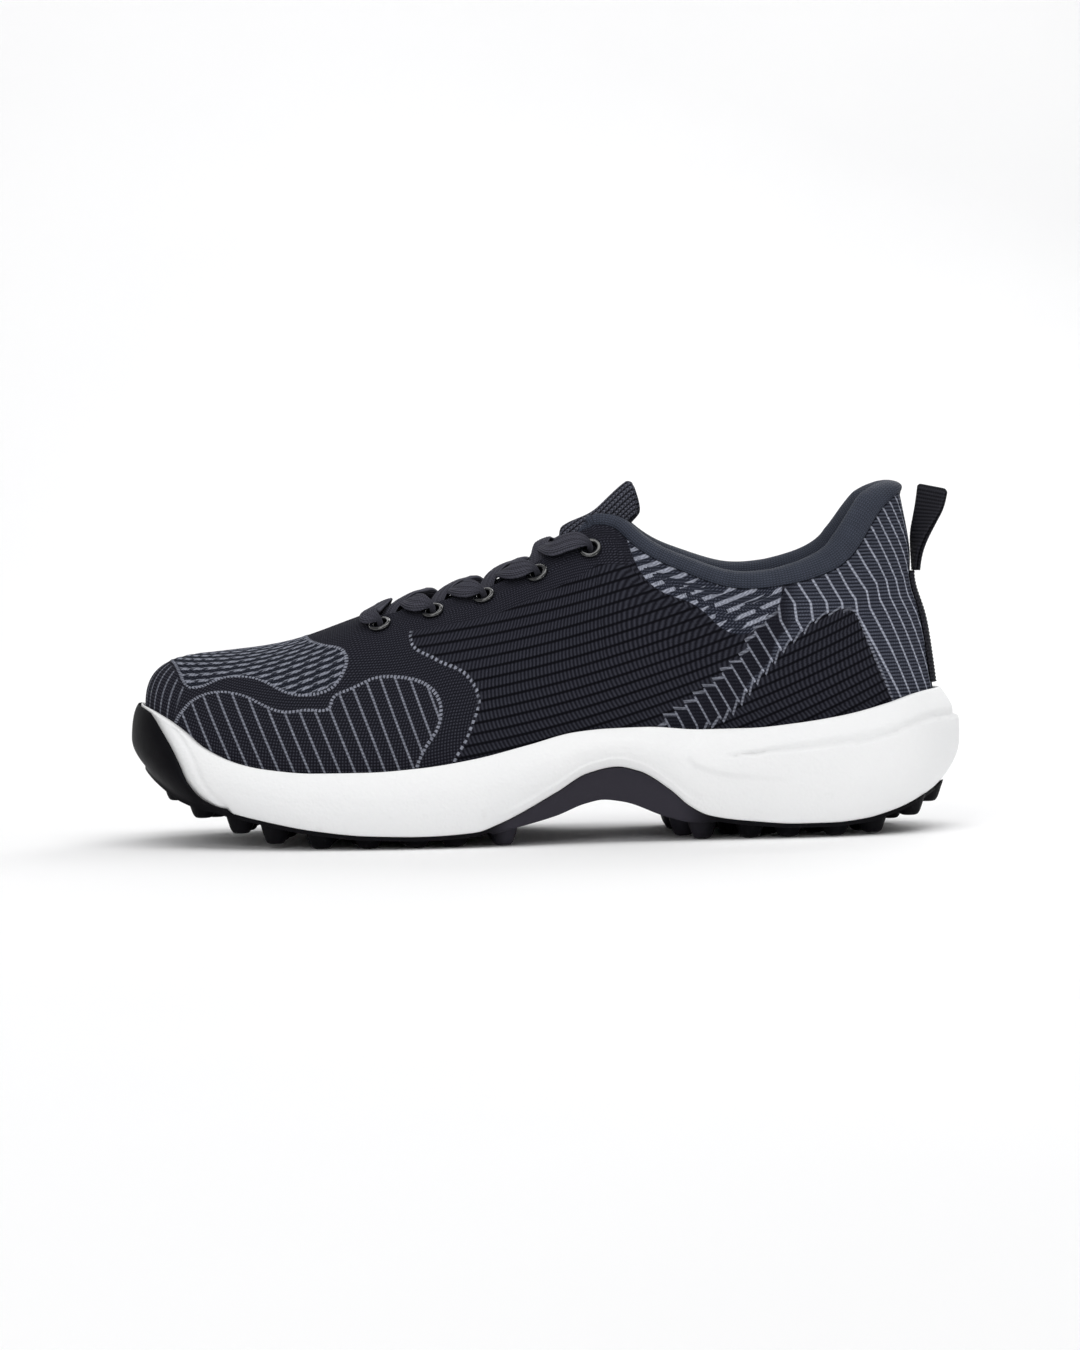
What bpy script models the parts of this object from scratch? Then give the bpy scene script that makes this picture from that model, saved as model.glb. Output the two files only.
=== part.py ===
"""A left low-cut golf shoe: knit upper, foam midsole and a studded rubber outsole with a toe bumper.

Metres, +Z up. The toe points to -X, the lateral (outer) side faces -Y, and the studs stand on z = 0.
The loop parameter w runs round the shoe: 0 at the toe, 0 to 1 along the lateral side, 1 at the back of
the heel, and 1 to 2 along the medial side back to the toe.
"""

import math

import bmesh
import bpy
import numpy as np
from mathutils import Matrix, Vector

MM = 0.001

# ---------------------------------------------------------------- driving dimensions
GAP = 0.35 * MM  # air between pieces that touch
KNIT = 1.6 * MM  # knit upper
BOARD = 1.4 * MM  # strobel board
SOCKLINER = 4.2 * MM
SOCKLINER_INSET = 6.2 * MM
SHEET = 1.3 * MM  # outsole rubber under the midsole edge
BUMPER = 2.0 * MM
SHANK = 1.3 * MM
SHANK_DEPTH = 1.0 * MM  # of its upper face under the footbed
STUD_BASE_R = 5.6 * MM
STUD_TIP_R = 3.1 * MM
STUD_SIDES = 6
STUD_PITCH = 13.6 * MM

COUNTER = 1.2 * MM
TOE_PUFF = 0.9 * MM
EYESTAY = 0.6 * MM
LINING = 0.8 * MM

EYELET_HOLE_R = 3.0 * MM
EYELET_BORE_R = 2.25 * MM
EYELET_FLANGE_R = 4.1 * MM
EYELET_SIDES = 8
HOLE_SIDES = 10
LACE_HALF_WIDTH = 3.1 * MM
LACE_HALF_THICKNESS = 0.75 * MM
LACE_CORE_R = 1.05 * MM  # the lace bunched up inside an eyelet

WEBBING = 1.2 * MM
HEEL_STRIP = 0.9 * MM
WEBBING_WIDTH = 11.0 * MM

UPPER_ROWS = 7
THROAT_START = 0.302  # w of the throat's closed end
COLLAR_START = 0.612  # w of the facing's top corner


# ---------------------------------------------------------------- curves
def steady(points):
    """Monotone cubic through (x, value) pairs in millimetres, as a function of x in metres."""
    xs, ys = (np.array(column, float) * MM for column in zip(*points))
    step = np.diff(xs)
    slope = np.diff(ys) / step
    tangent = np.zeros_like(ys)
    same = slope[:-1] * slope[1:] > 0
    weight_a, weight_b = 2 * step[1:] + step[:-1], step[1:] + 2 * step[:-1]
    with np.errstate(divide="ignore", invalid="ignore"):
        inner = (weight_a + weight_b) / (weight_a / slope[:-1] + weight_b / slope[1:])
    tangent[1:-1] = np.where(same, inner, 0)
    tangent[0], tangent[-1] = slope[0], slope[-1]

    def value(x):
        x = np.clip(np.asarray(x, float), xs[0], xs[-1])
        k = np.clip(np.searchsorted(xs, x) - 1, 0, len(step) - 1)
        s = (x - xs[k]) / step[k]
        return (
            ys[k] * (1 + 2 * s) * (1 - s) ** 2
            + tangent[k] * step[k] * s * (1 - s) ** 2
            + ys[k + 1] * s * s * (3 - 2 * s)
            + tangent[k + 1] * step[k] * s * s * (s - 1)
        )

    return value


def loop_spline(lateral, medial):
    """Closed cubic spline in w, of period 2, through rows of u and values; u runs from toe to heel."""
    rows = [(r[0], *r[1:]) for r in lateral] + [(2 - r[0], *r[1:]) for r in medial[::-1] if 0 < r[0] < 1]
    table = np.array(rows, float)
    knots, values = table[:, 0], table[:, 1:]
    n = len(knots)
    step = np.append(np.diff(knots), knots[0] + 2 - knots[-1])
    system, right = np.zeros((n, n)), np.zeros_like(values)
    for k in range(n):
        before, after = step[k - 1], step[k]
        system[k, k - 1] += before
        system[k, k] += 2 * (before + after)
        system[k, (k + 1) % n] += after
        right[k] = 6 * ((values[(k + 1) % n] - values[k]) / after - (values[k] - values[k - 1]) / before)
    bend = np.linalg.solve(system, right)

    def value(w):
        w = np.mod(np.asarray(w, float), 2)
        k = np.clip(np.searchsorted(knots, w, side="right") - 1, 0, n - 1)
        nxt = (k + 1) % n
        h = step[k][..., None]
        b = (w - knots[k])[..., None] / h
        a = 1 - b
        return (
            a * values[k]
            + b * values[nxt]
            + ((a**3 - a) * bend[k] + (b**3 - b) * bend[nxt]) * h * h / 6
        )

    return value


def open_spline(points):
    """Natural cubic spline through points, as a function of the chord length share from 0 to 1."""
    points = np.array(points, float)
    length = np.append(0, np.cumsum(np.linalg.norm(np.diff(points[:, :3], axis=0), axis=1)))
    knots = length / length[-1]
    n, step = len(knots), np.diff(knots)
    system, right = np.eye(n), np.zeros_like(points)
    for k in range(1, n - 1):
        system[k, k - 1 : k + 2] = step[k - 1], 2 * (step[k - 1] + step[k]), step[k]
        right[k] = 6 * ((points[k + 1] - points[k]) / step[k] - (points[k] - points[k - 1]) / step[k - 1])
    bend = np.linalg.solve(system, right)

    def value(q):
        q = np.asarray(q, float)
        k = np.clip(np.searchsorted(knots, q) - 1, 0, n - 2)
        h = step[k][..., None]
        b = (q - knots[k])[..., None] / h
        a = 1 - b
        return (
            a * points[k]
            + b * points[k + 1]
            + ((a**3 - a) * bend[k] + (b**3 - b) * bend[k + 1]) * h * h / 6
        )

    return value, length[-1]


# ---------------------------------------------------------------- the sole's lines, in millimetres
# Widest outline of the midsole: u, x, y.
OUTLINE = loop_spline(
    [
        (0, -147.5, 8.5), (0.05, -144.6, -8), (0.1, -136.5, -22), (0.2, -109.5, -41.5), (0.3, -77, -51),
        (0.4, -44, -53.3), (0.5, -11, -50.3), (0.6, 22, -45.6), (0.7, 55, -42), (0.8, 88, -40.5),
        (0.88, 115, -37.2), (0.94, 135, -27.5), (0.975, 145.5, -14.5), (1, 150, -1),
    ],
    [
        (0, -147.5, 8.5), (0.05, -143.2, 24), (0.1, -133, 36.5), (0.2, -104, 48.9), (0.3, -72, 53.1),
        (0.4, -40, 48), (0.5, -8, 41.5), (0.6, 24, 37.6), (0.7, 56, 37.4), (0.8, 88, 38.7),
        (0.88, 114.5, 36), (0.94, 134.5, 27), (0.975, 145.3, 13.5), (1, 150, -1),
    ],
)  # fmt: skip

SOLE_EDGE = steady(
    [
        (-151, 36), (-147, 31.5), (-142, 28), (-137, 24), (-128, 18), (-115, 13.8), (-100, 10.2), (-82, 6.8),
        (-63, 4.8), (-44, 4.3), (-25, 5.3), (-17, 8), (3.6, 18.6), (14.8, 25), (25, 27), (33, 25.2),
        (44, 18.2),
        (50.6, 12.4), (57.5, 8.8), (72.5, 6.4), (89.5, 5.1), (101, 5.1), (112, 6), (123.5, 8.6), (135, 12.9),
        (141, 15.8), (151, 22),
    ]
)  # fmt: skip
RIM = steady(
    [
        (-151, 51), (-145, 49.8), (-138, 46.5), (-131, 42), (-123, 36), (-110, 30.6), (-100, 28.5), (-82, 27),
        (-63, 27.1), (-44, 28.3), (-25, 31), (-6, 35.4), (11, 39.5), (22, 40.4), (36, 40.6), (56, 39.2),
        (73, 39.3), (90, 40.7), (107, 43.1), (124, 46.9), (138, 50.3), (151, 51.2),
    ]
)  # fmt: skip
FOOTBED = steady(
    [
        (-151, 34), (-143, 32.5), (-132, 28), (-115, 22.5), (-90, 18.6), (-60, 18), (-30, 22), (0, 29),
        (25, 32.6), (50, 31.4), (80, 29.2), (110, 29.6), (140, 32.5), (151, 33.5),
    ]
)  # fmt: skip
# Underside of the rubber bridge below the arch.
BRIDGE = steady(
    [(-19, 4.4), (-14, 5.6), (3.5, 10.2), (14, 14.2), (20, 15.3), (27, 14.4), (43, 8.4), (52, 6.3), (60, 6.2)]
)
STUD_TIP = steady(
    [
        (-145, 26.5), (-138, 19.4), (-129.4, 13.2), (-118.7, 8.4), (-106, 4.2), (-93, 1), (-82, 0), (112, 0),
        (125, 3.2), (136, 8.6), (145, 13),
    ]
)  # fmt: skip
BUMPER_TOP = steady(
    [
        (-151, 51.6), (-145, 50.2), (-140.5, 46.3), (-136.7, 41.5), (-132.5, 35.7), (-129.3, 30),
        (-126.5, 23.5),
        (-122, 17.6), (-116, 14.9), (-100, 14),
    ]
)  # fmt: skip

# How far the midsole wall draws in at its foot and at its rim: u, foot, rim.
DRAW_IN = loop_spline(
    *[
        [
            (0, 5, 1.0), (0.06, 4.6, 1.6), (0.12, 4, 2.4), (0.2, 3.4, 3.2), (0.3, 3.2, 3.8), (0.5, 3.2, 4),
            (0.7, 3.2, 4), (0.85, 3.8, 4.2), (0.95, 6, 5.8), (1, 7, 6.6),
        ]
    ]
    * 2
)  # fmt: skip

# ---------------------------------------------------------------- the upper's stations, in millimetres
# u, top point x y z, foot inset, lower handle up and out, upper handle out and down.
RIDGE_STATIONS = [
    (0, -121, 8, 68.2, 5.0, 26, 7.1, 23, 0),
    (0.1, -104.5, 6.8, 69.9, 6.4, 26, 6, 25, 0),
    (0.2, -86, 5.8, 73.6, 8.0, 26, 4.6, 28, 0),
    (0.3, -66, 4.8, 80.5, 8.9, 27, 3.6, 31, 0),
    (0.4, -42, 3.6, 87.4, 9.0, 30, 3.0, 31, 0.5),
    (0.5, -15, 2.3, 95.6, 9.0, 34, 2.2, 28, 1.5),
    (0.57, 5, 1.2, 108.6, 9.0, 38, 1, 24, 4),
]
LATERAL_COLLAR = [
    (0.61, 19, -2.5, 115.8, 9.0, 40, 0, 18, 9),
    (0.65, 32, -16.5, 105.2, 9.0, 37, -0.8, 9, 17),
    (0.7, 49, -26, 95.2, 9.0, 33, -0.8, 4.5, 21),
    (0.75, 66, -30.6, 88.9, 9.0, 29, -0.8, 2.5, 22),
    (0.8, 83, -31.6, 88.7, 9.0, 28, -1.2, 2, 22),
    (0.85, 99, -29.2, 92, 9.0, 28, -1.8, 2, 22),
    (0.9, 112, -24.8, 100, 8.6, 28, -2, 2.4, 22),
    (0.95, 122, -16.2, 114.5, 7.8, 29, -2.6, 3.6, 22),
    (1, 130.4, -0.5, 121.6, 7.0, 29, -2.2, 4.4, 22),
]
MEDIAL_COLLAR = [
    (0.61, 19, 5.5, 115.8, 9.0, 40, 0, 18, 9),
    (0.65, 32, 18, 106.2, 9.0, 37, -0.8, 9, 17),
    (0.7, 49, 26, 96.8, 9.0, 33, -0.8, 4.5, 21),
    (0.75, 66, 29.6, 91, 9.0, 29, -0.8, 2.5, 22),
    (0.8, 83, 30.2, 90.8, 9.0, 28, -1.2, 2, 22),
    (0.85, 99, 28, 93.8, 9.0, 28, -1.8, 2, 22),
    (0.9, 112, 23.6, 101.4, 8.6, 28, -2, 2.4, 22),
    (0.95, 122, 15, 115, 7.8, 29, -2.6, 3.6, 22),
]
# The tongue's own crest carries on past the facings to the tip.
TONGUE_CREST = [
    (0.61, 18, 0.6, 119, 9.0, 40, 0, 20, 6),
    (0.65, 30, 0.2, 129.4, 9.0, 40, 0, 18, 8),
    (0.7, 44, 0, 133, 9.0, 40, 0, 16, 10),
    (1, 130.4, 0, 160, 7.0, 29, -2.2, 4.4, 22),
]
SKIN_TABLE = loop_spline(RIDGE_STATIONS + LATERAL_COLLAR, RIDGE_STATIONS + MEDIAL_COLLAR)
TONGUE_TABLE = loop_spline(RIDGE_STATIONS + TONGUE_CREST, RIDGE_STATIONS + TONGUE_CREST)
RIDGE_SLOPE = steady(
    [(-151, 0), (-110, 70), (-85, 270), (-66, 300), (-30, 280), (-5, 600), (8, 580), (20, 520), (40, 520)]
)  # thousandths, by x
HEEL_PINCH_Z, HEEL_PINCH = 89 * MM, 2.1 * MM

# Height up the girth at which the throat is cut, by u.
FACING_EDGE = [
    (0.302, 1.0), (0.308, 0.93), (0.322, 0.875), (0.36, 0.845), (0.5, 0.825), (0.57, 0.82), (0.605, 0.85),
]  # fmt: skip


def along(w):
    """0 at the toe to 1 at the heel, on either side."""
    w = np.mod(w, 2)
    return np.where(w > 1, 2 - w, w)


def outline(w, inset=0.0):
    """Plan point on the midsole's widest outline, moved in by inset, and the outward normal."""
    w = np.asarray(w, float)
    here = OUTLINE(w) * MM
    tangent = (OUTLINE(w + 1e-4) - OUTLINE(w - 1e-4)) * MM
    tangent /= np.linalg.norm(tangent, axis=-1, keepdims=True)
    normal = np.stack([tangent[..., 1], -tangent[..., 0]], -1)
    return here - normal * np.asarray(inset)[..., None], normal


def skin(w, t, table=None):
    """The upper's outer surface: t is 0 at the footbed and 1 at the crest or the collar seam."""
    w, t = np.broadcast_arrays(np.asarray(w, float), np.asarray(t, float))
    row = (table or SKIN_TABLE)(w) * MM
    top, foot_inset, up1, out1, out2, down2 = row[..., :3], *(row[..., k] for k in range(3, 8))
    foot, normal = outline(w, foot_inset)
    foot = np.concatenate([foot, FOOTBED(foot[..., 0])[..., None]], -1)
    level = np.concatenate([normal, np.zeros_like(normal[..., :1])], -1)
    slope = RIDGE_SLOPE(top[..., 0]) * (along(w) < 0.75)
    rise = np.array([0.0, 0.0, 1.0])
    low = foot + up1[..., None] * rise + out1[..., None] * level
    tilt = (out2 * normal[..., 0] * slope - down2)[..., None] * rise
    high = top + out2[..., None] * level + tilt
    t = t[..., None]
    point = foot * (1 - t) ** 3 + 3 * low * t * (1 - t) ** 2 + 3 * high * t * t * (1 - t) + top * t**3
    near_heel = np.clip((along(w) - 0.9) / 0.1, 0, 1)
    pinch = HEEL_PINCH * near_heel * np.exp(-(((point[..., 2] - HEEL_PINCH_Z) / (9 * MM)) ** 2))
    return point - pinch[..., None] * level


def skin_frame(w, t, table=None):
    """Point, outward normal and upward tangent of the skin."""
    w, t = np.broadcast_arrays(np.asarray(w, float), np.asarray(t, float))
    inside = np.clip(t, 0.002, 0.985)
    d_w = skin(w + 2e-3, inside, table) - skin(w - 2e-3, inside, table)
    d_t = skin(w, inside + 2e-3, table) - skin(w, inside - 2e-3, table)
    normal = np.cross(d_w, d_t)
    normal /= np.linalg.norm(normal, axis=-1, keepdims=True)
    centre = np.array([0, 0, 45 * MM])
    outward = np.sum(normal * (skin(w, inside, table) - centre), -1, keepdims=True)
    normal = np.where(outward < 0, -normal, normal)
    up = d_t / np.linalg.norm(d_t, axis=-1, keepdims=True)
    return skin(w, t, table), normal, up


def under_skin(w, t, depth, table=None):
    """A point that far inside the skin; a negative depth stands outside it."""
    point, normal, _ = skin_frame(w, t, table)
    return point - normal * np.asarray(depth)[..., None]


def columns(first=0.0, last=2.0):
    """Values of w shared by every layer, denser at the tips, the throat's start and the corners."""
    side = [0, 0.025, 0.06, 0.1, 0.125, 0.15, 0.2, 0.25, THROAT_START, 0.308, 0.322, 0.36, 0.41, 0.46, 0.51]
    side += [0.56, 0.605, 0.622, 0.64, 0.68, 0.73, 0.79, 0.85, 0.9, 0.94, 0.97, 0.985, 1]
    loop = np.array(side + [2 - u for u in side[-2:0:-1]])
    loop = np.concatenate([loop - 2, loop])
    return loop[(loop > first - 1e-9) & (loop < last - 1e-9 * (last == 2))]


def layer(w, t, depth):
    """A point under the skin, straight between the upper's rows so that facets of layers run parallel."""
    w, t, depth = np.broadcast_arrays(np.asarray(w, float), np.asarray(t, float), np.asarray(depth, float))
    top = top_share(w)
    row = np.clip(t / top * UPPER_ROWS, 0, UPPER_ROWS)
    below = np.minimum(np.floor(row), UPPER_ROWS - 1)
    share = (row - below)[..., None]
    low = under_skin(w, top * below / UPPER_ROWS, depth)
    high = under_skin(w, top * (below + 1) / UPPER_ROWS, depth)
    return low * (1 - share) + high * share


def top_share(w):
    """The t of the upper's top edge: the crest, the throat's edge or the collar seam."""
    u = along(w)
    edge = np.interp(u, *zip(*FACING_EDGE))
    corner = np.clip((u - 0.605) / (0.64 - 0.605), 0, 1)
    corner = corner * corner * (3 - 2 * corner)
    return np.where(u < THROAT_START, 1.0, np.where(u < 0.605, edge, 0.87 + 0.13 * corner))


# ---------------------------------------------------------------- meshes and objects
def paint(name, colour, roughness, metallic=0.0):
    material = bpy.data.materials.get(name) or bpy.data.materials.new(name)
    material.use_nodes = True
    shader = material.node_tree.nodes["Principled BSDF"]
    shader.inputs["Base Color"].default_value = (*colour, 1)
    shader.inputs["Roughness"].default_value = roughness
    shader.inputs["Metallic"].default_value = metallic
    return material


def add(name, vertices, faces, material=None, sharp_deg=40):
    """A mesh object whose faces are made to point outwards."""
    mesh = bpy.data.meshes.new(name)
    mesh.from_pydata([tuple(map(float, v)) for v in vertices], [], [tuple(map(int, f)) for f in faces])
    work = bmesh.new()
    work.from_mesh(mesh)
    bmesh.ops.remove_doubles(work, verts=work.verts, dist=1e-6)
    bmesh.ops.recalc_face_normals(work, faces=work.faces)
    if work.calc_volume(signed=True) < 0:
        bmesh.ops.reverse_faces(work, faces=work.faces)
    work.to_mesh(mesh)
    work.free()
    mesh.shade_smooth()
    mesh.set_sharp_from_angle(angle=math.radians(sharp_deg))
    if material:
        mesh.materials.append(material)
    obj = bpy.data.objects.new(name, mesh)
    bpy.context.scene.collection.objects.link(obj)
    return obj


def helper(obj):
    """Keeps a cutter or a joined-in shape out of the render and of the part."""
    obj.hide_render = True
    obj.display_type = "WIRE"
    return obj


def boolean(obj, other, operation):
    modifier = obj.modifiers.new(f"{operation.lower()} {other.name}", "BOOLEAN")
    modifier.operation = operation
    modifier.solver = "EXACT"
    modifier.object = other
    return obj


def slab(name, one, other, material=None):
    """A closed sheet between two grids of points of the same size."""
    rows, columns = one.shape[:2]
    points = np.concatenate([one.reshape(-1, 3), other.reshape(-1, 3)])
    back = rows * columns

    def at(i, j):
        return i * columns + j

    faces = []
    for i in range(rows - 1):
        for j in range(columns - 1):
            quad = (at(i, j), at(i + 1, j), at(i + 1, j + 1), at(i, j + 1))
            faces += [quad, tuple(back + k for k in quad[::-1])]
    rim = [at(0, j) for j in range(columns)]
    rim += [at(i, columns - 1) for i in range(1, rows)]
    rim += [at(rows - 1, j) for j in range(columns - 2, -1, -1)]
    rim += [at(i, 0) for i in range(rows - 2, 0, -1)]
    for a, b in zip(rim, rim[1:] + rim[:1]):
        faces.append((a, b, back + b, back + a))
    return add(name, points, faces, material)


def patch(name, w_range, t_range, depths, rows, material):
    """A sheet that follows the skin between two depths."""
    w, t = np.meshgrid(columns(*w_range), np.linspace(*t_range, rows), indexing="ij")
    return slab(name, layer(w, t, depths[0]), layer(w, t, depths[1]), material)


def loaf(name, rings, base_height, top_height, lanes, material=None):
    """A closed solid from rings that climb from its base to its top, each capped across by ladder rungs."""
    count = len(rings[0])
    half = count // 2
    points = [p for ring in rings for p in ring]
    faces = []
    for k in range(len(rings) - 1):
        for i in range(count):
            j = (i + 1) % count
            faces.append((k * count + i, k * count + j, (k + 1) * count + j, (k + 1) * count + i))
    for start, height in ((0, base_height), ((len(rings) - 1) * count, top_height)):
        rungs = []
        for i in range(1, half):
            near, far = np.array(points[start + i]), np.array(points[start + count - i])
            rung = [start + i]
            for share in np.linspace(0, 1, lanes + 1)[1:-1]:
                p = near + (far - near) * share
                p[2] = height(p[0], share, near, far)
                rung.append(len(points))
                points.append(p)
            rungs.append([*rung, start + count - i])
        for a, b in zip(rungs, rungs[1:]):
            faces += [(a[k], a[k + 1], b[k + 1], b[k]) for k in range(lanes)]
        faces += [(start, rungs[0][k], rungs[0][k + 1]) for k in range(lanes)]
        faces += [(start + half, rungs[-1][k + 1], rungs[-1][k]) for k in range(lanes)]
    return add(name, points, faces, material)


def sweep(name, centre, across, half_width, half_thickness, sides, material=None):
    """A closed oval cord along centre, wide along across."""
    centre = np.asarray(centre)
    ahead = np.gradient(centre, axis=0)
    ahead /= np.linalg.norm(ahead, axis=1, keepdims=True)
    across = across - np.sum(across * ahead, 1, keepdims=True) * ahead
    across /= np.linalg.norm(across, axis=1, keepdims=True)
    over = np.cross(ahead, across)
    turn = np.arange(sides) * 2 * math.pi / sides
    half_width = np.broadcast_to(half_width, len(centre))
    half_thickness = np.broadcast_to(half_thickness, len(centre))
    rings = (
        centre[:, None]
        + across[:, None] * (np.cos(turn)[None, :, None] * half_width[:, None, None])
        + over[:, None] * (np.sin(turn)[None, :, None] * half_thickness[:, None, None])
    )
    faces = []
    for k in range(len(centre) - 1):
        for i in range(sides):
            j = (i + 1) % sides
            faces.append((k * sides + i, k * sides + j, (k + 1) * sides + j, (k + 1) * sides + i))
    faces.append(tuple(range(sides)))
    faces.append(tuple((len(centre) - 1) * sides + k for k in range(sides)))
    return add(name, rings.reshape(-1, 3), faces, material)


def lathe(profile, sides):
    """Closed ring of a profile of (radius, height) points turned about the local Z axis."""
    points, faces = [], []
    for k in range(sides):
        angle = 2 * math.pi * k / sides
        points += [(r * math.cos(angle), r * math.sin(angle), z) for r, z in profile]
    n = len(profile)
    for k in range(sides):
        nxt = (k + 1) % sides
        faces += [(k * n + i, k * n + (i + 1) % n, nxt * n + (i + 1) % n, nxt * n + i) for i in range(n)]
    return points, faces


def upright(point, normal):
    """Places local Z along normal at point."""
    return Matrix.Translation(Vector(point)) @ Vector(normal).to_track_quat("Z", "Y").to_matrix().to_4x4()


# ---------------------------------------------------------------- the sole
WALL_SHARES = (0, 0.16, 0.36, 0.62, 0.84, 1)  # heights of the midsole wall's rings
BUMPER_GAP = 1.2 * MM
BUMPER_END = 0.19  # u where the toe bumper runs out
ARCH = (-19 * MM, 60 * MM)
LANES = 4  # faces across the sole


def wall(w, share, out=0.0):
    """Point on the midsole's outer wall; share is 0 at its bottom edge and 1 at its rim."""
    foot, rim = (DRAW_IN(w) * MM).T
    inset = foot * np.clip(1 - share / 0.45, 0, 1) ** 2 + rim * np.clip(share / 0.5 - 1, 0, 1) ** 2
    bottom = SOLE_EDGE(outline(w, foot)[0][:, 0])
    top = RIM(outline(w, rim)[0][:, 0])
    flat, _ = outline(w, inset - out)
    return np.column_stack([flat, bottom + (top - bottom) * share])


def share_at_height(w, height):
    """The t at which the skin reaches a height."""
    low, high = np.zeros_like(w), np.full_like(w, 0.7)
    for _ in range(30):
        middle = (low + high) / 2
        below = skin(w, middle)[..., 2] < height
        low, high = np.where(below, middle, low), np.where(below, high, middle)
    return (low + high) / 2


def sole_bottom(x):
    """Underside of the rubber, without its studs."""
    sheet = SOLE_EDGE(x) - GAP - SHEET
    return np.where((x > ARCH[0]) & (x < ARCH[1]), np.minimum(sheet, BRIDGE(x)), sheet)


def with_height(flat, height):
    return np.column_stack([flat[:, :2], np.broadcast_to(height, len(flat))])


def midsole():
    w = columns()
    rim_line = wall(w, np.ones_like(w))
    foot_inset = SKIN_TABLE(w)[:, 3] * MM
    lip = share_at_height(w, rim_line[:, 2] - 0.6 * MM)
    inner_rim = layer(w, lip, -GAP)
    inner_foot, _ = outline(w, foot_inset - GAP)
    inner_foot = with_height(inner_foot, FOOTBED(inner_foot[:, 0]) - GAP)
    under = outline(w, DRAW_IN(w)[:, 0] * MM + 1.5 * MM)[0]
    rings = [with_height(under, SOLE_EDGE(under[:, 0]))]
    rings += [wall(w, np.full_like(w, share)) for share in WALL_SHARES]
    rings.append(inner_rim)
    rings += [layer(w, np.minimum(lip, row * top_share(w) / UPPER_ROWS), -GAP) for row in (3, 2, 1)]
    rings.append(inner_foot)
    body = loaf(
        "midsole",
        rings,
        lambda x, *_: SOLE_EDGE(x),
        lambda x, *_: FOOTBED(x) - GAP,
        LANES,
        paint("white foam", (0.86, 0.86, 0.88), 0.6),
    )
    boolean(body, helper(shank("shank pocket", GAP, 2 * MM)), "DIFFERENCE")


def shank(name, margin, rise, material=None):
    """Flat stiffener under the arch; margin and rise make the pocket it lies in."""
    xs = np.linspace(-22 * MM - margin, 62 * MM + margin, 8)
    half = 13 * MM + margin
    ys = np.linspace(-4 * MM - half, -4 * MM + half, 3)
    x, y = np.meshgrid(xs, ys, indexing="ij")
    top = np.stack([x, y, FOOTBED(x) - SHANK_DEPTH + rise], -1)
    bottom = np.stack([x, y, FOOTBED(x) - SHANK_DEPTH - SHANK - margin], -1)
    return slab(name, top, bottom, material)


def bumper_share(w):
    """How far up the midsole wall the toe bumper reaches."""
    foot = outline(w, DRAW_IN(w)[:, 0] * MM)[0][:, 0]
    bottom, top = SOLE_EDGE(foot), RIM(outline(w, DRAW_IN(w)[:, 1] * MM)[0][:, 0])
    share = (BUMPER_TOP(outline(w)[0][:, 0]) - bottom) / (top - bottom)
    return np.where(along(w) < BUMPER_END, np.clip(share, 0, 1), 0)


def outsole():
    w = columns()
    top = bumper_share(w)
    present = top > 0
    thick = BUMPER * np.clip(top / 0.3, 0, 1)
    inner_gap = np.where(present, BUMPER_GAP, 0)
    foot = DRAW_IN(w)[:, 0] * MM

    def bumper_ring(share, thickness_part):
        ring = wall(w, np.minimum(share, top), inner_gap + thick * thickness_part)
        ring[:, 2] -= np.where(present, 0, GAP)
        return ring

    under, _ = outline(w, foot + 1.2 * MM - thick)
    edge, _ = outline(w, foot - inner_gap - thick)
    bottom = sole_bottom(outline(w, foot)[0][:, 0])
    shelf = with_height(edge, SOLE_EDGE(outline(w, foot)[0][:, 0]) - GAP)
    rings = [
        with_height(under, sole_bottom(under[:, 0])),
        with_height(edge, bottom + 0.45 * MM),
        shelf,
        *[bumper_ring(share, 1 - 0.6 * share) for share in WALL_SHARES[1:]],
        *[bumper_ring(share, 0) for share in WALL_SHARES[:0:-1]],
        with_height(outline(w, foot - inner_gap)[0], SOLE_EDGE(outline(w, foot)[0][:, 0]) - GAP),
    ]
    body = loaf(
        "outsole",
        rings,
        lambda x, *_: sole_bottom(x),
        lambda x, *_: SOLE_EDGE(x) - GAP,
        LANES,
        paint("black rubber", (0.02, 0.02, 0.022), 0.5),
    )
    boolean(body, helper(studs()), "UNION")


def stud_centres():
    """Rows that follow the outline, each stud clear of those already placed."""
    placed = []
    fine = np.linspace(0.985, -1.015, 4001)
    for inset in (11.2 * MM, 25.5 * MM, 39.5 * MM):
        line = outline(fine, inset)[0]
        walked = np.append(0, np.cumsum(np.linalg.norm(np.diff(line, axis=0), axis=1)))
        for distance in np.arange(0, walked[-1], STUD_PITCH / 4):
            centre = line[np.searchsorted(walked, distance)]
            forefoot, heel = -143 * MM < centre[0] < -15 * MM, 44 * MM < centre[0] < 141 * MM
            inside = abs(centre[1]) < 46 * MM
            if (forefoot or heel) and inside and all(math.dist(centre, p) > STUD_PITCH for p in placed):
                placed.append(tuple(centre))
    return placed


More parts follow.
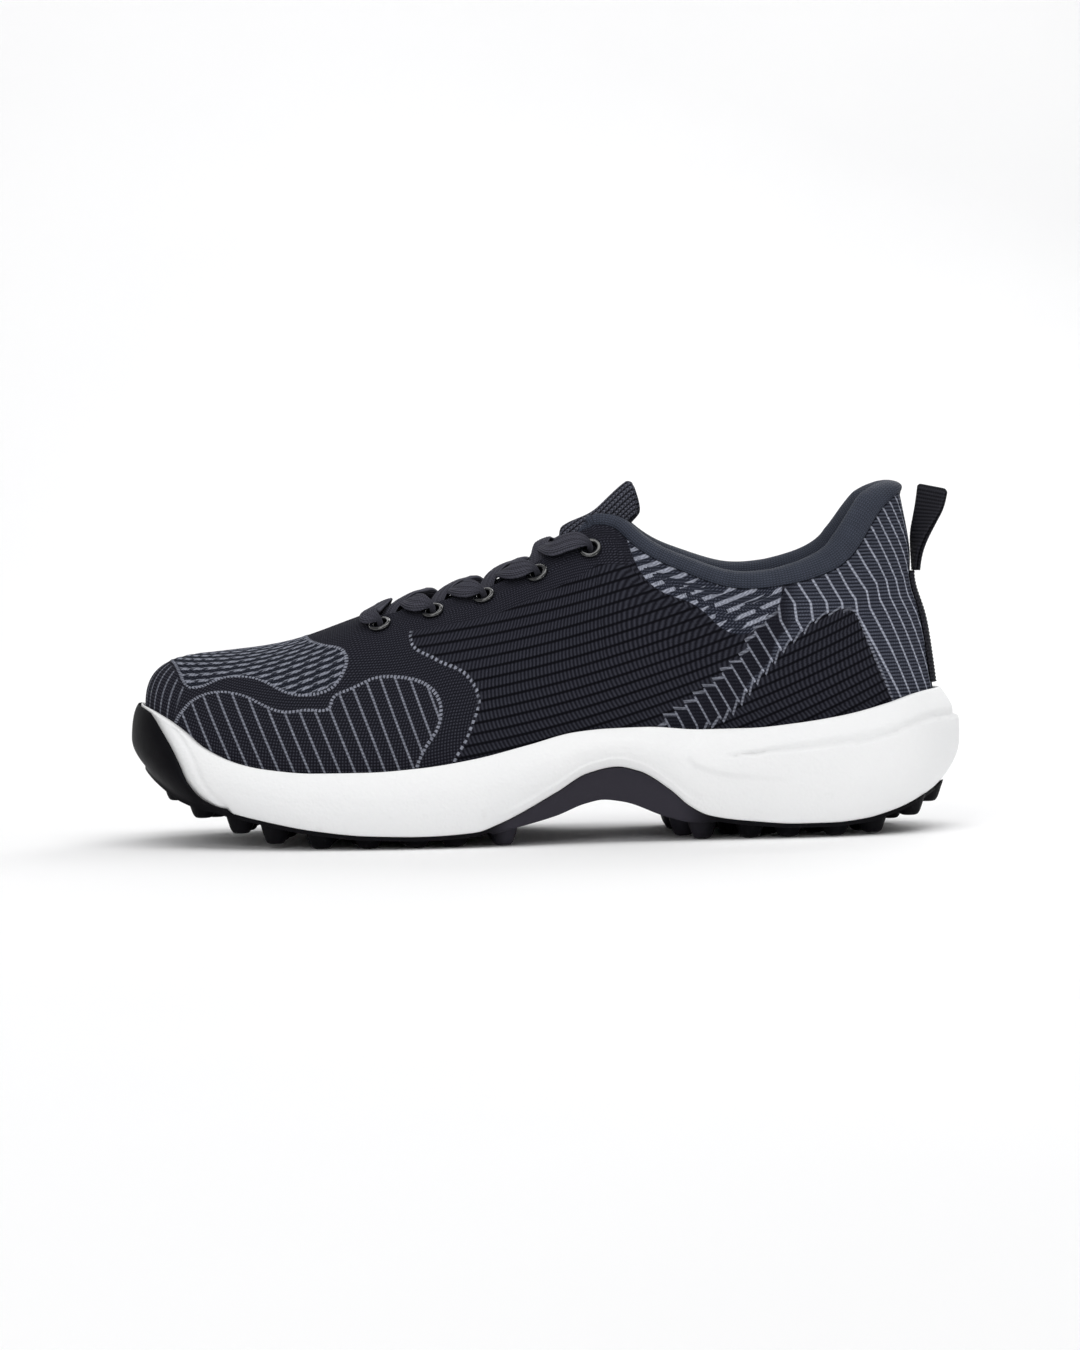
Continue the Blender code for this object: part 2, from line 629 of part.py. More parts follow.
def studs():
    """Every moulded stud, with its base sunk in the rubber sheet and a flat tip."""
    points, faces = [], []
    levels = [(STUD_BASE_R, 0), (0.82 * STUD_BASE_R, 0.55), (STUD_TIP_R, 1)]
    for x, y in stud_centres():
        start = len(points)
        for radius, drop in levels:
            for k in range(STUD_SIDES):
                angle = 2 * math.pi * k / STUD_SIDES
                px, py = x + radius * math.cos(angle), y + radius * math.sin(angle)
                root = float(sole_bottom(px)) + 0.7 * MM
                points.append((px, py, root + (float(STUD_TIP(x)) - root) * drop))
        for ring in range(2):
            a, b = start + ring * STUD_SIDES, start + (ring + 1) * STUD_SIDES
            for k in range(STUD_SIDES):
                nxt = (k + 1) % STUD_SIDES
                faces.append((a + k, a + nxt, b + nxt, b + k))
        faces.append(tuple(range(start, start + STUD_SIDES)))
        faces.append(tuple(range(start + 2 * STUD_SIDES, start + 3 * STUD_SIDES)))
    return add("studs", points, faces)


def flat_layer(name, clearance, thickness, inset, material):
    """A sheet lying on the footbed inside the upper."""
    w = columns()
    lean = np.clip(-SKIN_TABLE(w)[:, 5] * MM, 0, None) * 0.35
    edge, _ = outline(w, SKIN_TABLE(w)[:, 3] * MM + inset + lean)
    rings = [with_height(edge, FOOTBED(edge[:, 0]) + clearance + share * thickness) for share in (0, 1)]

    def low(x, *_):
        return FOOTBED(x) + clearance

    def high(x, *_):
        return FOOTBED(x) + clearance + thickness

    return loaf(name, rings, low, high, LANES, material)


# ---------------------------------------------------------------- the upper
def upper():
    w = columns()
    n = len(w)
    shares = np.linspace(0, 1, UPPER_ROWS + 1)
    grid_w = np.repeat(w[:, None], len(shares), 1)
    grid_t = top_share(w)[:, None] * shares[None]
    outer, inner = skin(grid_w, grid_t), under_skin(grid_w, grid_t, KNIT)
    closed = int(np.sum((w > 0) & (w < THROAT_START + 1e-6)))
    for i in range(1, closed + 1):
        for layer in (outer, inner):
            layer[i, -1] = layer[n - i, -1] = (layer[i, -1] + layer[n - i, -1]) / 2
    points = np.concatenate([outer.reshape(-1, 3), inner.reshape(-1, 3)])
    rows, back = len(shares), n * len(shares)
    faces = []
    for i in range(n):
        j = (i + 1) % n
        for k in range(rows - 1):
            quad = (i * rows + k, j * rows + k, j * rows + k + 1, i * rows + k + 1)
            faces += [quad, tuple(back + v for v in quad[::-1])]
        faces.append((i * rows, j * rows, back + j * rows, back + i * rows))
        if max(along(w[i]), along(w[j])) > THROAT_START + 1e-6:
            a, b = i * rows + rows - 1, j * rows + rows - 1
            faces.append((a, b, back + b, back + a))
    body = add("upper", points, faces, paint("black knit", (0.025, 0.025, 0.035), 0.85))
    boolean(body, helper(eyelet_holes("upper holes", (1, -1))), "DIFFERENCE")


# ---------------------------------------------------------------- eyelets and eyestays
EYELET_X = [-58.2 * MM, -39.2 * MM, -20.8 * MM, -1.5 * MM, 17.6 * MM]
EYELET_FROM_EDGE = (0.085, 0.073, 0.063, 0.083, 0.13)  # share of the girth from the throat's edge to each


def eyelet_place(k, side):
    """w and t of an eyelet; side is 1 on the lateral and -1 on the medial."""
    low, high = THROAT_START, 0.605
    for _ in range(30):
        middle = (low + high) / 2
        x = skin(middle, float(top_share(middle)) - EYELET_FROM_EDGE[k])[0]
        low, high = (middle, high) if x < EYELET_X[k] else (low, middle)
    w = low if side > 0 else 2 - low
    return w, float(top_share(w)) - EYELET_FROM_EDGE[k]


def eyelet_frame(k, side):
    w, t = eyelet_place(k, side)
    point, normal, _ = skin_frame(w, t)
    return upright(point, normal)


def eyelet_holes(name, sides):
    """Straight cutters through the knit and its tape, one for each eyelet."""
    count = HOLE_SIDES
    points, faces = [], []
    for side in sides:
        for k in range(len(EYELET_X)):
            start = len(points)
            frame = eyelet_frame(k, side)
            for height in (-6 * MM, 4 * MM):
                for j in range(count):
                    angle = 2 * math.pi * j / count
                    local = (EYELET_HOLE_R * math.cos(angle), EYELET_HOLE_R * math.sin(angle), height)
                    points.append(frame @ Vector(local))
            low = list(range(start, start + count))
            high = [v + count for v in low]
            faces += [(low[j - 1], low[j], high[j], high[j - 1]) for j in range(count)]
            faces += [low, high]
    return add(name, points, faces)


def eyelets():
    metal = paint("black metal", (0.03, 0.03, 0.035), 0.2, 1.0)
    neck = EYELET_HOLE_R - GAP
    back = -(KNIT + GAP + EYESTAY + 2 * GAP)
    profile = [
        (EYELET_BORE_R, back - 0.4 * MM),
        (3.4 * MM, back - 0.4 * MM),
        (neck, back),
        (neck, GAP),
        (EYELET_FLANGE_R, GAP),
        (3.8 * MM, GAP + 0.5 * MM),
        (EYELET_BORE_R, GAP + 0.55 * MM),
    ]
    for side, label in ((1, "lateral"), (-1, "medial")):
        for k in range(len(EYELET_X)):
            points, faces = lathe(profile, EYELET_SIDES)
            frame = eyelet_frame(k, side)
            add(f"eyelet_{label}_{k + 1}", [frame @ Vector(p) for p in points], faces, metal)


def eyestays():
    tape = paint("black tape", (0.02, 0.02, 0.02), 0.8)
    for side, label in ((1, "lateral"), (-1, "medial")):
        u = columns(0.32, 0.606)
        w = u if side > 0 else 2 - u
        across = np.linspace(0.19, 0.012, 4)
        t = top_share(w)[:, None] - across[None]
        grid_w = np.repeat(w[:, None], 4, 1)
        near, far = KNIT + GAP, KNIT + GAP + EYESTAY
        strip = slab(f"eyestay_{label}", layer(grid_w, t, near), layer(grid_w, t, far), tape)
        boolean(strip, helper(eyelet_holes(f"{label} tape holes", (side,))), "DIFFERENCE")


# ---------------------------------------------------------------- layers inside the upper
def stiffeners_and_lining():
    stiff = paint("stiffener", (0.35, 0.33, 0.3), 0.7)
    cloth = paint("lining cloth", (0.05, 0.055, 0.08), 0.9)
    first = KNIT + GAP
    patch("heel_counter", (0.82, 1.18), (0.05, 0.5), (first, first + COUNTER), 5, stiff)
    patch("toe_puff", (-0.2, 0.2), (0.05, 0.55), (first, first + TOE_PUFF), 5, stiff)
    second = first + COUNTER + GAP
    patch("quarter_lining", (0.63, 1.37), (0.11, 0.62), (second, second + LINING), 5, cloth)


# ---------------------------------------------------------------- collar
COLLAR_ROLL = [  # inward and upward from the collar seam, in millimetres; upward is scaled above the seam
    (0.1, 0.1), (-0.5, 0.45), (0.7, 0.85), (3.2, 1.0), (6.0, 0.8), (7.7, 0.3), (8.3, -4), (8.0, -10),
    (6.8, -16),
    (5.0, -21),
]  # fmt: skip
FRONT_DEPTH = 3.6  # further inward at the roll's foot, where its front ends are thin
COLLAR_BULGE = [(0.6, 2.2), (0.63, 1.8), (0.67, 0)]  # how far the front corners stand off the skin
BULGE_SHARE = (0, 0.6, 1, 1, 1, 0.6, 0, 0, 0, 0)  # of that, at each point of the roll
COLLAR_HEIGHT = [
    (0.6, 4), (0.64, 5), (0.7, 5.6), (0.8, 6.6), (0.9, 9.5), (0.95, 9), (0.975, 6.3), (1, 3.4),
]  # fmt: skip


def collar_point(w, inward, rise):
    """A point near the collar seam; rise runs square to it, and below it the point follows the skin."""
    top = top_share(w)
    girth = np.linalg.norm(skin(w, top) - skin(w, top - 0.1), axis=-1) / 0.1
    _, _, up = skin_frame(w, top)
    seam = skin(w + 3e-3, top_share(w + 3e-3)) - skin(w - 3e-3, top_share(w - 3e-3))
    seam /= np.linalg.norm(seam, axis=-1, keepdims=True)
    up = up - np.sum(up * seam, -1, keepdims=True) * seam
    up /= np.linalg.norm(up, axis=-1, keepdims=True)
    return layer(w, top + np.minimum(rise, 0) / girth, inward) + up * np.maximum(rise, 0)[..., None]


def collar_profile(w, grow):
    """The collar's roll at each w, moved towards its own outside by grow."""
    roll = np.array(COLLAR_ROLL)
    u = along(w)
    height = np.interp(u, *zip(*COLLAR_HEIGHT))
    plump = 0.37 + 0.63 * np.clip((u - COLLAR_START) / 0.1, 0, 1)
    inward = roll[None, :, 0] * plump[:, None]
    deep = np.clip(-roll[None, :, 1] / 21, 0, 1)
    inward = inward + deep * (1 - plump[:, None]) * FRONT_DEPTH
    rise = np.where(roll[None, :, 1] > 0, roll[None, :, 1] * height[:, None], roll[None, :, 1])
    bulge = np.interp(u, *zip(*COLLAR_BULGE))
    inward = inward - bulge[:, None] * np.array(BULGE_SHARE)
    line = np.stack([inward, rise], -1)
    tangent = np.gradient(line, axis=1)
    tangent /= np.linalg.norm(tangent, axis=-1, keepdims=True)
    outside = np.stack([-tangent[..., 1], tangent[..., 0]], -1)
    return (line + outside * grow / MM) * MM


def collar():
    w = columns(COLLAR_START, 2 - COLLAR_START)
    spread = np.repeat(w[:, None], len(COLLAR_ROLL), 1)
    cloth = paint("lining cloth", (0.05, 0.055, 0.08), 0.9)
    sheets = []
    for grow in (LINING / 2, -LINING / 2):
        line = collar_profile(w, grow)
        sheets.append(collar_point(spread, line[..., 0], line[..., 1]))
    slab("collar_lining", *sheets, cloth)

    inside = collar_profile(w, -LINING / 2 - 2 * GAP)[:, 2:-1]
    knit_side = [(KNIT + GAP + 0.15 * MM, -14 * MM), (KNIT + GAP + 0.15 * MM, -1 * MM), (1.5 * MM, 0.8 * MM)]
    closing = np.broadcast_to(np.array(knit_side), (len(w), 3, 2))
    loop = np.concatenate([inside, closing], 1)
    spread = np.repeat(w[:, None], loop.shape[1], 1)
    rings = collar_point(spread, loop[..., 0], loop[..., 1])
    ring_solid("collar_foam", rings[3:-3], paint("foam", (0.5, 0.5, 0.5), 0.9))


def ring_solid(name, rings, material):
    """A closed solid through a row of loops, capped at both ends."""
    count, sides = rings.shape[:2]
    faces = []
    for k in range(count - 1):
        for i in range(sides):
            j = (i + 1) % sides
            faces.append((k * sides + i, k * sides + j, (k + 1) * sides + j, (k + 1) * sides + i))
    faces += [tuple(range(sides)), tuple((count - 1) * sides + i for i in range(sides))]
    return add(name, rings.reshape(-1, 3), faces, material)


# ---------------------------------------------------------------- tongue
TONGUE_DEPTH = 6.7 * MM  # room above the tongue for the lace under the facings
# How far the tongue's middle rises from that depth, by share of its half-width.
TONGUE_RISE = [(0, 4.4), (0.2, 3.7), (0.4, 1.9), (0.6, 0.3), (0.8, 0)]
TONGUE_GAP = 0.5 * MM
TONGUE_MESH = 0.9 * MM
TONGUE_FOAM = 2.2 * MM
TONGUE_STEPS = (14, 11)
TONGUE_REACH = (0.315, 0.656)  # u of its stitched base and of its tip
TONGUE_HALF_WIDTH = 0.25  # share of the girth on each side of the crest
TONGUE_WIDTH = [(0.315, 0.6), (0.36, 1), (0.58, 0.95), (0.656, 0.85)]  # of that, by u


def tongue_grid(u, across):
    """Skin points over the tongue, the directions of its depth, and how far it rises from that depth."""
    narrow = np.interp(u, *zip(*TONGUE_WIDTH))
    t = 1 - np.abs(across)[None] * TONGUE_HALF_WIDTH * narrow[:, None]
    w = np.where(across[None] < 0, u[:, None], 2 - u[:, None])
    point, normal, _ = skin_frame(w, t, TONGUE_TABLE)
    crest = skin_frame(u, 1.0, TONGUE_TABLE)[1] + skin_frame(2 - u, 1.0, TONGUE_TABLE)[1]
    crest /= np.linalg.norm(crest, axis=-1, keepdims=True)
    share = np.exp(-((across / 0.45) ** 2))[None, :, None]
    normal = normal * (1 - share) + crest[:, None] * share
    normal /= np.linalg.norm(normal, axis=-1, keepdims=True)
    start = np.clip((u - TONGUE_REACH[0]) / 0.02, 0, 1)
    rise = np.interp(np.abs(across), *zip(*TONGUE_RISE))[None] * MM * start[:, None]
    return point, normal, rise


def tongue_layer(name, near, far, material, margin=0):
    """One layer of the tongue; margin is the number of grid steps it stops short all round."""
    rows, lanes = TONGUE_STEPS
    point, normal, rise = tongue_grid(np.linspace(*TONGUE_REACH, rows), np.linspace(-1, 1, lanes))
    kept = slice(margin, None if margin == 0 else -margin)
    faces = [(point - normal * (depth - rise)[..., None])[kept, kept] for depth in (near, far)]
    return slab(name, *faces, material)


def tongue():
    cloth = paint("tongue mesh", (0.03, 0.03, 0.045), 0.9)
    foam = paint("foam", (0.5, 0.5, 0.5), 0.9)
    near = TONGUE_DEPTH
    tongue_layer("tongue_face", near, near + TONGUE_MESH, cloth)
    near += TONGUE_MESH + TONGUE_GAP
    tongue_layer("tongue_foam", near, near + TONGUE_FOAM, foam, 1)
    near += TONGUE_FOAM + TONGUE_GAP
    tongue_layer("tongue_lining", near, near + LINING, cloth)


# ---------------------------------------------------------------- lace
OVER_EDGE = 1.3 * MM  # height of the lace's middle over the knit
OVER_FLANGE = 2.4 * MM
UNDER_FLANGE = 4.9 * MM  # depth of the lace's middle under the facing
LACE_STEP = 4.2 * MM
LACE_CROSSING = (0.4, 0.36, 0.33, 0.24)  # where the strands cross between one eyelet and the next
LACE_LEAD = (4 * MM, 6.5 * MM, 7 * MM, 7.5 * MM, 9 * MM)  # towards the toe, where a strand meets the facing
GIRTH_PER_U = 272 * MM  # length of the facing for one unit of u
LACE_MIDDLE_Y, LACE_REACH_Y, LACE_LEAN = 2.5 * MM, 17 * MM, 48  # the facings lean out by so many degrees


def lace_stop(k, side, inward, depth, lead=0.0):
    """A point near an eyelet: inward is towards the throat, depth below the skin, lead towards the toe."""
    w, t = eyelet_place(k, side)
    point, normal, up = skin_frame(w - side * lead / GIRTH_PER_U, t)
    return point + up * inward - normal * depth


def lace_mid(k, lift):
    """Where the two strands between eyelets k and k + 1 cross over the crest."""
    low, high = eyelet_place(k, 1)[0], eyelet_place(k + 1, 1)[0]
    point, normal, _ = skin_frame(low + (high - low) * LACE_CROSSING[k], 0.985)
    return np.array([point[0], (skin(low, 1.0)[1] + skin(high, 1.0)[1]) / 2, point[2] + lift])


def lace_route():
    """Points, half-widths and half-thicknesses of the whole lace, from one tail to the other."""
    flat = (LACE_HALF_WIDTH, LACE_HALF_THICKNESS)
    tight = (LACE_CORE_R, LACE_CORE_R)
    medium = (2.2 * MM, 0.85 * MM)
    broad = (2.7 * MM, 0.8 * MM)

    def into(k, side):
        """Down through an eyelet from outside, then back under the facing."""
        return [
            (lace_stop(k, side, 6.6 * MM, -OVER_EDGE, LACE_LEAD[k]), flat),
            (lace_stop(k, side, 2.9 * MM, -OVER_FLANGE, 3 * MM), broad),
            (lace_stop(k, side, 0.7 * MM, -1.5 * MM), tight),
            (lace_stop(k, side, 0, 0.4 * MM), tight),
            (lace_stop(k, side, 0, 2.4 * MM), tight),
            (lace_stop(k, side, 0.8 * MM, 4.4 * MM), (1.4 * MM, 0.85 * MM)),
            (lace_stop(k, side, 3.6 * MM, UNDER_FLANGE), medium),
        ]

    def strand(first_side):
        stops, side = into(0, first_side), first_side
        for k in range(len(EYELET_X) - 1):
            lift = 1.2 * MM if (k % 2 == 0) == (first_side > 0) else -0.7 * MM
            stops.append((lace_stop(k, side, 8.6 * MM, 3.8 * MM), flat))
            stops.append((lace_mid(k, lift), flat))
            side = -side
            stops += into(k + 1, side)
        return stops, side

    def tail(side):
        """The end tucked away between the tongue and the facing."""
        return [
            (lace_stop(4, side, -2.0 * MM, UNDER_FLANGE), medium),
            (lace_stop(4, side, -8.0 * MM, 5.6 * MM), medium),
            (lace_stop(4, side, -15.0 * MM, 8.4 * MM), medium),
        ]

    ahead, side_ahead = strand(1)
    behind, side_behind = strand(-1)
    ahead = ahead[:-1] + tail(side_ahead)
    behind = behind[:-1] + tail(side_behind)
    crest = skin(eyelet_place(0, 1)[0], 1.0)
    bar = [(np.array([crest[0] - 1.0 * MM, crest[1], crest[2] + 1.6 * MM]), flat)]
    return behind[::-1] + bar + ahead


def lace_across(line):
    """Directions across the flat lace, lying in the facing's surface and turning steadily."""
    ahead = np.gradient(line, axis=0)
    ahead /= np.linalg.norm(ahead, axis=1, keepdims=True)
    lean = np.clip((line[:, 1] - LACE_MIDDLE_Y) / LACE_REACH_Y, -1, 1) * math.radians(LACE_LEAN)
    outward = np.stack([np.full_like(lean, -0.4), np.sin(lean), np.cos(lean)], 1)
    across = np.cross(ahead, outward)
    for k in range(1, len(across)):
        if across[k] @ across[k - 1] < 0:
            across[k] = -across[k]
        across[k] += across[k - 1] * max(0.0, 0.8 - np.linalg.norm(across[k]))
    return across / np.linalg.norm(across, axis=1, keepdims=True)


def lace():
    stops = lace_route()
    table = np.array([[*point, *size] for point, size in stops])
    spline, _ = open_spline(table)
    lengths = np.append(0, np.cumsum(np.linalg.norm(np.diff(table[:, :3], axis=0), axis=1)))
    knots = lengths / lengths[-1]
    samples = []
    for a, b in zip(knots, knots[1:]):
        pieces = max(1, math.ceil((b - a) * lengths[-1] / LACE_STEP))
        samples += list(np.linspace(a, b, pieces, endpoint=False))
    row = spline(np.array(samples + [1.0]))
    across = lace_across(row[:, :3])
    widths = np.clip(row[:, 3], LACE_CORE_R, LACE_HALF_WIDTH)
    depths = np.clip(row[:, 4], LACE_HALF_THICKNESS, LACE_CORE_R)
    sweep("lace", row[:, :3], across, widths, depths, 6, paint("lace weave", (0.02, 0.02, 0.025), 0.8))
    plastic = paint("aglet plastic", (0.02, 0.02, 0.02), 0.3)
    for label, at, step in (("lateral", -1, 1), ("medial", 0, -1)):
        end, before = row[at, :3], row[at - step, :3]
        ahead = (end - before) / np.linalg.norm(end - before)
        line = np.array([end + ahead * (GAP + 2 * MM * k) for k in range(6)])
        sweep(f"aglet_{label}", line, np.tile(across[at], (6, 1)), 1.5 * MM, 1.1 * MM, 6, plastic)


# ---------------------------------------------------------------- heel strip and pull loop
LOOP_PATH = [
    (135.4, -0.8, 93.3), (136, -0.8, 100.5), (137.7, -0.8, 107.5), (140.4, -0.8, 115), (141.8, -0.8, 121.6),
]  # fmt: skip
LOOP_TWIST = [0, 10, 30, 52, 62]  # degrees about the vertical
LOOP_GAP = 1.9 * MM  # between the middles of the folded loop's two legs


def heel_strip():
    t_low = float(share_at_height(np.array([1.0]), RIM(150 * MM) + 1.5 * MM)[0])
    t_high = float(share_at_height(np.array([1.0]), 92.5 * MM)[0])
    patch(
        "heel_strip",
        (0.985, 1.015),
        (t_low, t_high),
        (-GAP, -GAP - HEEL_STRIP),
        9,
        paint("black webbing", (0.02, 0.02, 0.025), 0.85),
    )


def pull_loop():
    """A strip of webbing folded over, both its legs sewn down at the base, and twisted as it stands."""
    spline, _ = open_spline([[*(np.array(p) * MM), math.radians(a)] for p, a in zip(LOOP_PATH, LOOP_TWIST)])
    up = spline(np.linspace(0, 1, 9))
    path, wide = [], []
    for leg, rows in ((-1, up), (1, up[::-1])):
        for row in rows:
            turn = row[3]
            face = np.array([math.cos(turn), math.sin(turn), 0])
            spread = 0.71 + 0.29 * np.clip((row[2] - 95 * MM) / (14 * MM), 0, 1)
            path.append(row[:3] + face * leg * LOOP_GAP / 2 * spread)
            wide.append((-math.sin(turn), math.cos(turn), 0))
        if leg < 0:
            top = up[-1]
            face = np.array([math.cos(top[3]), math.sin(top[3]), 0])
            for angle in (45, 90, 135):
                swing = -math.cos(math.radians(angle)) * face * LOOP_GAP / 2
                rise = np.array([0, 0, math.sin(math.radians(angle)) * LOOP_GAP / 2])
                path.append(top[:3] + swing + rise)
                wide.append((-math.sin(top[3]), math.cos(top[3]), 0))
    webbing = paint("black webbing", (0.02, 0.02, 0.025), 0.85)
    half_width = np.full(len(path), WEBBING_WIDTH / 2)
    strip("pull_loop", np.array(path), np.array(wide), half_width, WEBBING / 2, webbing)


def strip(name, centre, across, half_width, half_thickness, material):
    """A flat strip of webbing with square edges along centre."""
    ahead = np.gradient(centre, axis=0)
    ahead /= np.linalg.norm(ahead, axis=1, keepdims=True)
    over = np.cross(ahead, across)
    over /= np.linalg.norm(over, axis=1, keepdims=True)
    side = across * half_width[:, None]
    lift = over * half_thickness
    corners = [side + lift, -side + lift, -side - lift, side - lift]
    ring_solid(name, np.stack([centre + c for c in corners], 1), material)


def main():
    for obj in list(bpy.data.objects):
        bpy.data.objects.remove(obj)
    outsole()
    midsole()
    shank("shank_plate", 0, 0, paint("shank fibre", (0.08, 0.08, 0.08), 0.5))
    board = paint("board", (0.6, 0.58, 0.52), 0.9)
    flat_layer("strobel_board", 0, BOARD, KNIT + GAP, board)
    liner = paint("sockliner foam", (0.06, 0.07, 0.1), 0.9)
    flat_layer("sockliner", BOARD + GAP, SOCKLINER, SOCKLINER_INSET, liner)
    upper()
    stiffeners_and_lining()
    collar()
    tongue()
    eyestays()
    eyelets()
    lace()
    heel_strip()
    pull_loop()


main()
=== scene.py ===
"""Looks of the golf shoe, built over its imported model.

Knit upper, padded collar and tongue, lace, foam and rubber, with their finishes, the lights and the camera.
Metres, +Z up. The toe points to -X and the lateral side faces -Y. The loop parameter w runs round the shoe:
0 at the toe, 0 to 1 along the lateral side, 1 at the back of the heel, 1 to 2 back along the medial side.
"""

import math

import bmesh
import bpy
import numpy as np
from mathutils import Matrix, Vector


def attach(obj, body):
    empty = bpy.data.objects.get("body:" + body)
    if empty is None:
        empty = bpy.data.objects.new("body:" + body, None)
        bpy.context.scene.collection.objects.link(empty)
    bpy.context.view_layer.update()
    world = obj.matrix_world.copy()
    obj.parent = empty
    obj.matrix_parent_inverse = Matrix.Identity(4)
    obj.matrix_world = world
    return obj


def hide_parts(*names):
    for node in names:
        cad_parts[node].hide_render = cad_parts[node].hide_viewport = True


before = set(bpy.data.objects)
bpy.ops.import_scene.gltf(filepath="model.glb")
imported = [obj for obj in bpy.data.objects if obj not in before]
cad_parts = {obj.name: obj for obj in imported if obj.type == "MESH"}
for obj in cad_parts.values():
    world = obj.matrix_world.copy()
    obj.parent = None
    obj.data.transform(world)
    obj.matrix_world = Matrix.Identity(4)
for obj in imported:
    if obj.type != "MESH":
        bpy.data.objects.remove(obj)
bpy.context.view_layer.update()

MM = 0.001
GAP = 0.35 * MM
KNIT = 1.6 * MM
BOARD = 1.4 * MM
SOCKLINER = 4.2 * MM
SOCKLINER_INSET = 6.2 * MM
SHEET = 1.3 * MM
BUMPER = 2.0 * MM
STUD_BASE_R = 5.6 * MM
STUD_PITCH = 13.6 * MM
COUNTER = 1.2 * MM
EYESTAY = 0.6 * MM
LINING = 0.8 * MM
EYELET_HOLE_R = 3.0 * MM
EYELET_BORE_R = 2.25 * MM
EYELET_FLANGE_R = 4.1 * MM
LACE_HALF_WIDTH = 3.1 * MM
LACE_HALF_THICKNESS = 0.75 * MM
LACE_CORE_R = 1.05 * MM
LACE_STEP = 0.8 * MM
LACE_BROAD = 2.7 * MM  # half-width where a strand spreads beside its eyelet
WEBBING = 1.2 * MM
WEBBING_WIDTH = 11.0 * MM
WEBBING_PITCH = 1.35  # millimetres between the webbing's cross ribs
THROAT_START = 0.302
COLLAR_START = 0.612
FACING_END, COLLAR_FULL = 0.605, 0.64  # u where the facing ends, and where the collar seam takes over


# ---- arithmetic
def unit(vectors):
    return vectors / np.linalg.norm(vectors, axis=-1, keepdims=True)


def ease(value, low, high):
    """0 below low, 1 above high, smooth between."""
    s = np.clip((value - low) / (high - low), 0, 1)
    return s * s * (3 - 2 * s)


def bell(value, width):
    """1 at zero, falling to a third at width."""
    return np.exp(-((value / width) ** 2))


def wave(phase):
    """1 at whole numbers and 0 half way between."""
    return 0.5 + 0.5 * np.cos(2 * np.pi * phase)


def soften(rows, times):
    """Evens out rows of numbers in place."""
    for _ in range(times):
        rows[1:-1] = (rows[:-2] + 2 * rows[1:-1] + rows[2:]) / 4


def walked(points, axis=0):
    """Distance walked along an array of points, in millimetres."""
    step = np.linalg.norm(np.diff(points, axis=axis), axis=-1)
    first = np.zeros_like(np.take(step, [0], axis))
    return np.concatenate([first, np.cumsum(step, axis)], axis) / MM


def full_turn(sides):
    """Angles of so many even steps round a circle."""
    return np.arange(sides) * 2 * np.pi / sides


def spread_across(column, count):
    """A column of numbers repeated count times."""
    return np.repeat(column[:, None], count, 1)


# ---- curves
def steady(points):
    """Monotone cubic through (x, value) pairs in millimetres, as a function of x in metres."""
    xs, ys = (np.array(column, float) * MM for column in zip(*points))
    step = np.diff(xs)
    slope = np.diff(ys) / step
    tangent = np.zeros_like(ys)
    same = slope[:-1] * slope[1:] > 0
    weight_a, weight_b = 2 * step[1:] + step[:-1], step[1:] + 2 * step[:-1]
    with np.errstate(divide="ignore", invalid="ignore"):
        inner = (weight_a + weight_b) / (weight_a / slope[:-1] + weight_b / slope[1:])
    tangent[1:-1] = np.where(same, inner, 0)
    tangent[0], tangent[-1] = slope[0], slope[-1]

    def value(x):
        x = np.clip(np.asarray(x, float), xs[0], xs[-1])
        k = np.clip(np.searchsorted(xs, x) - 1, 0, len(step) - 1)
        s = (x - xs[k]) / step[k]
        return (
            ys[k] * (1 + 2 * s) * (1 - s) ** 2
            + tangent[k] * step[k] * s * (1 - s) ** 2
            + ys[k + 1] * s * s * (3 - 2 * s)
            + tangent[k + 1] * step[k] * s * s * (s - 1)
        )

    return value


def cubic(first, second, first_bend, second_bend, share, step):
    """One piece of a cubic spline, from its end values and bends."""
    rest = 1 - share
    bend = ((rest**3 - rest) * first_bend + (share**3 - share) * second_bend) * step * step / 6
    return rest * first + share * second + bend


def loop_spline(lateral, medial):
    """Closed cubic spline in w, of period 2, through rows of u and values; u runs from toe to heel."""
    rows = [(r[0], *r[1:]) for r in lateral] + [(2 - r[0], *r[1:]) for r in medial[::-1] if 0 < r[0] < 1]
    table = np.array(rows, float)
    knots, values = table[:, 0], table[:, 1:]
    n = len(knots)
    step = np.append(np.diff(knots), knots[0] + 2 - knots[-1])
    system, right = np.zeros((n, n)), np.zeros_like(values)
    for k in range(n):
        before, after = step[k - 1], step[k]
        system[k, k - 1] += before
        system[k, k] += 2 * (before + after)
        system[k, (k + 1) % n] += after
        right[k] = 6 * ((values[(k + 1) % n] - values[k]) / after - (values[k] - values[k - 1]) / before)
    bend = np.linalg.solve(system, right)

    def value(w):
        w = np.mod(np.asarray(w, float), 2)
        k = np.clip(np.searchsorted(knots, w, side="right") - 1, 0, n - 1)
        nxt = (k + 1) % n
        h = step[k][..., None]
        share = (w - knots[k])[..., None] / h
        return cubic(values[k], values[nxt], bend[k], bend[nxt], share, h)

    return value


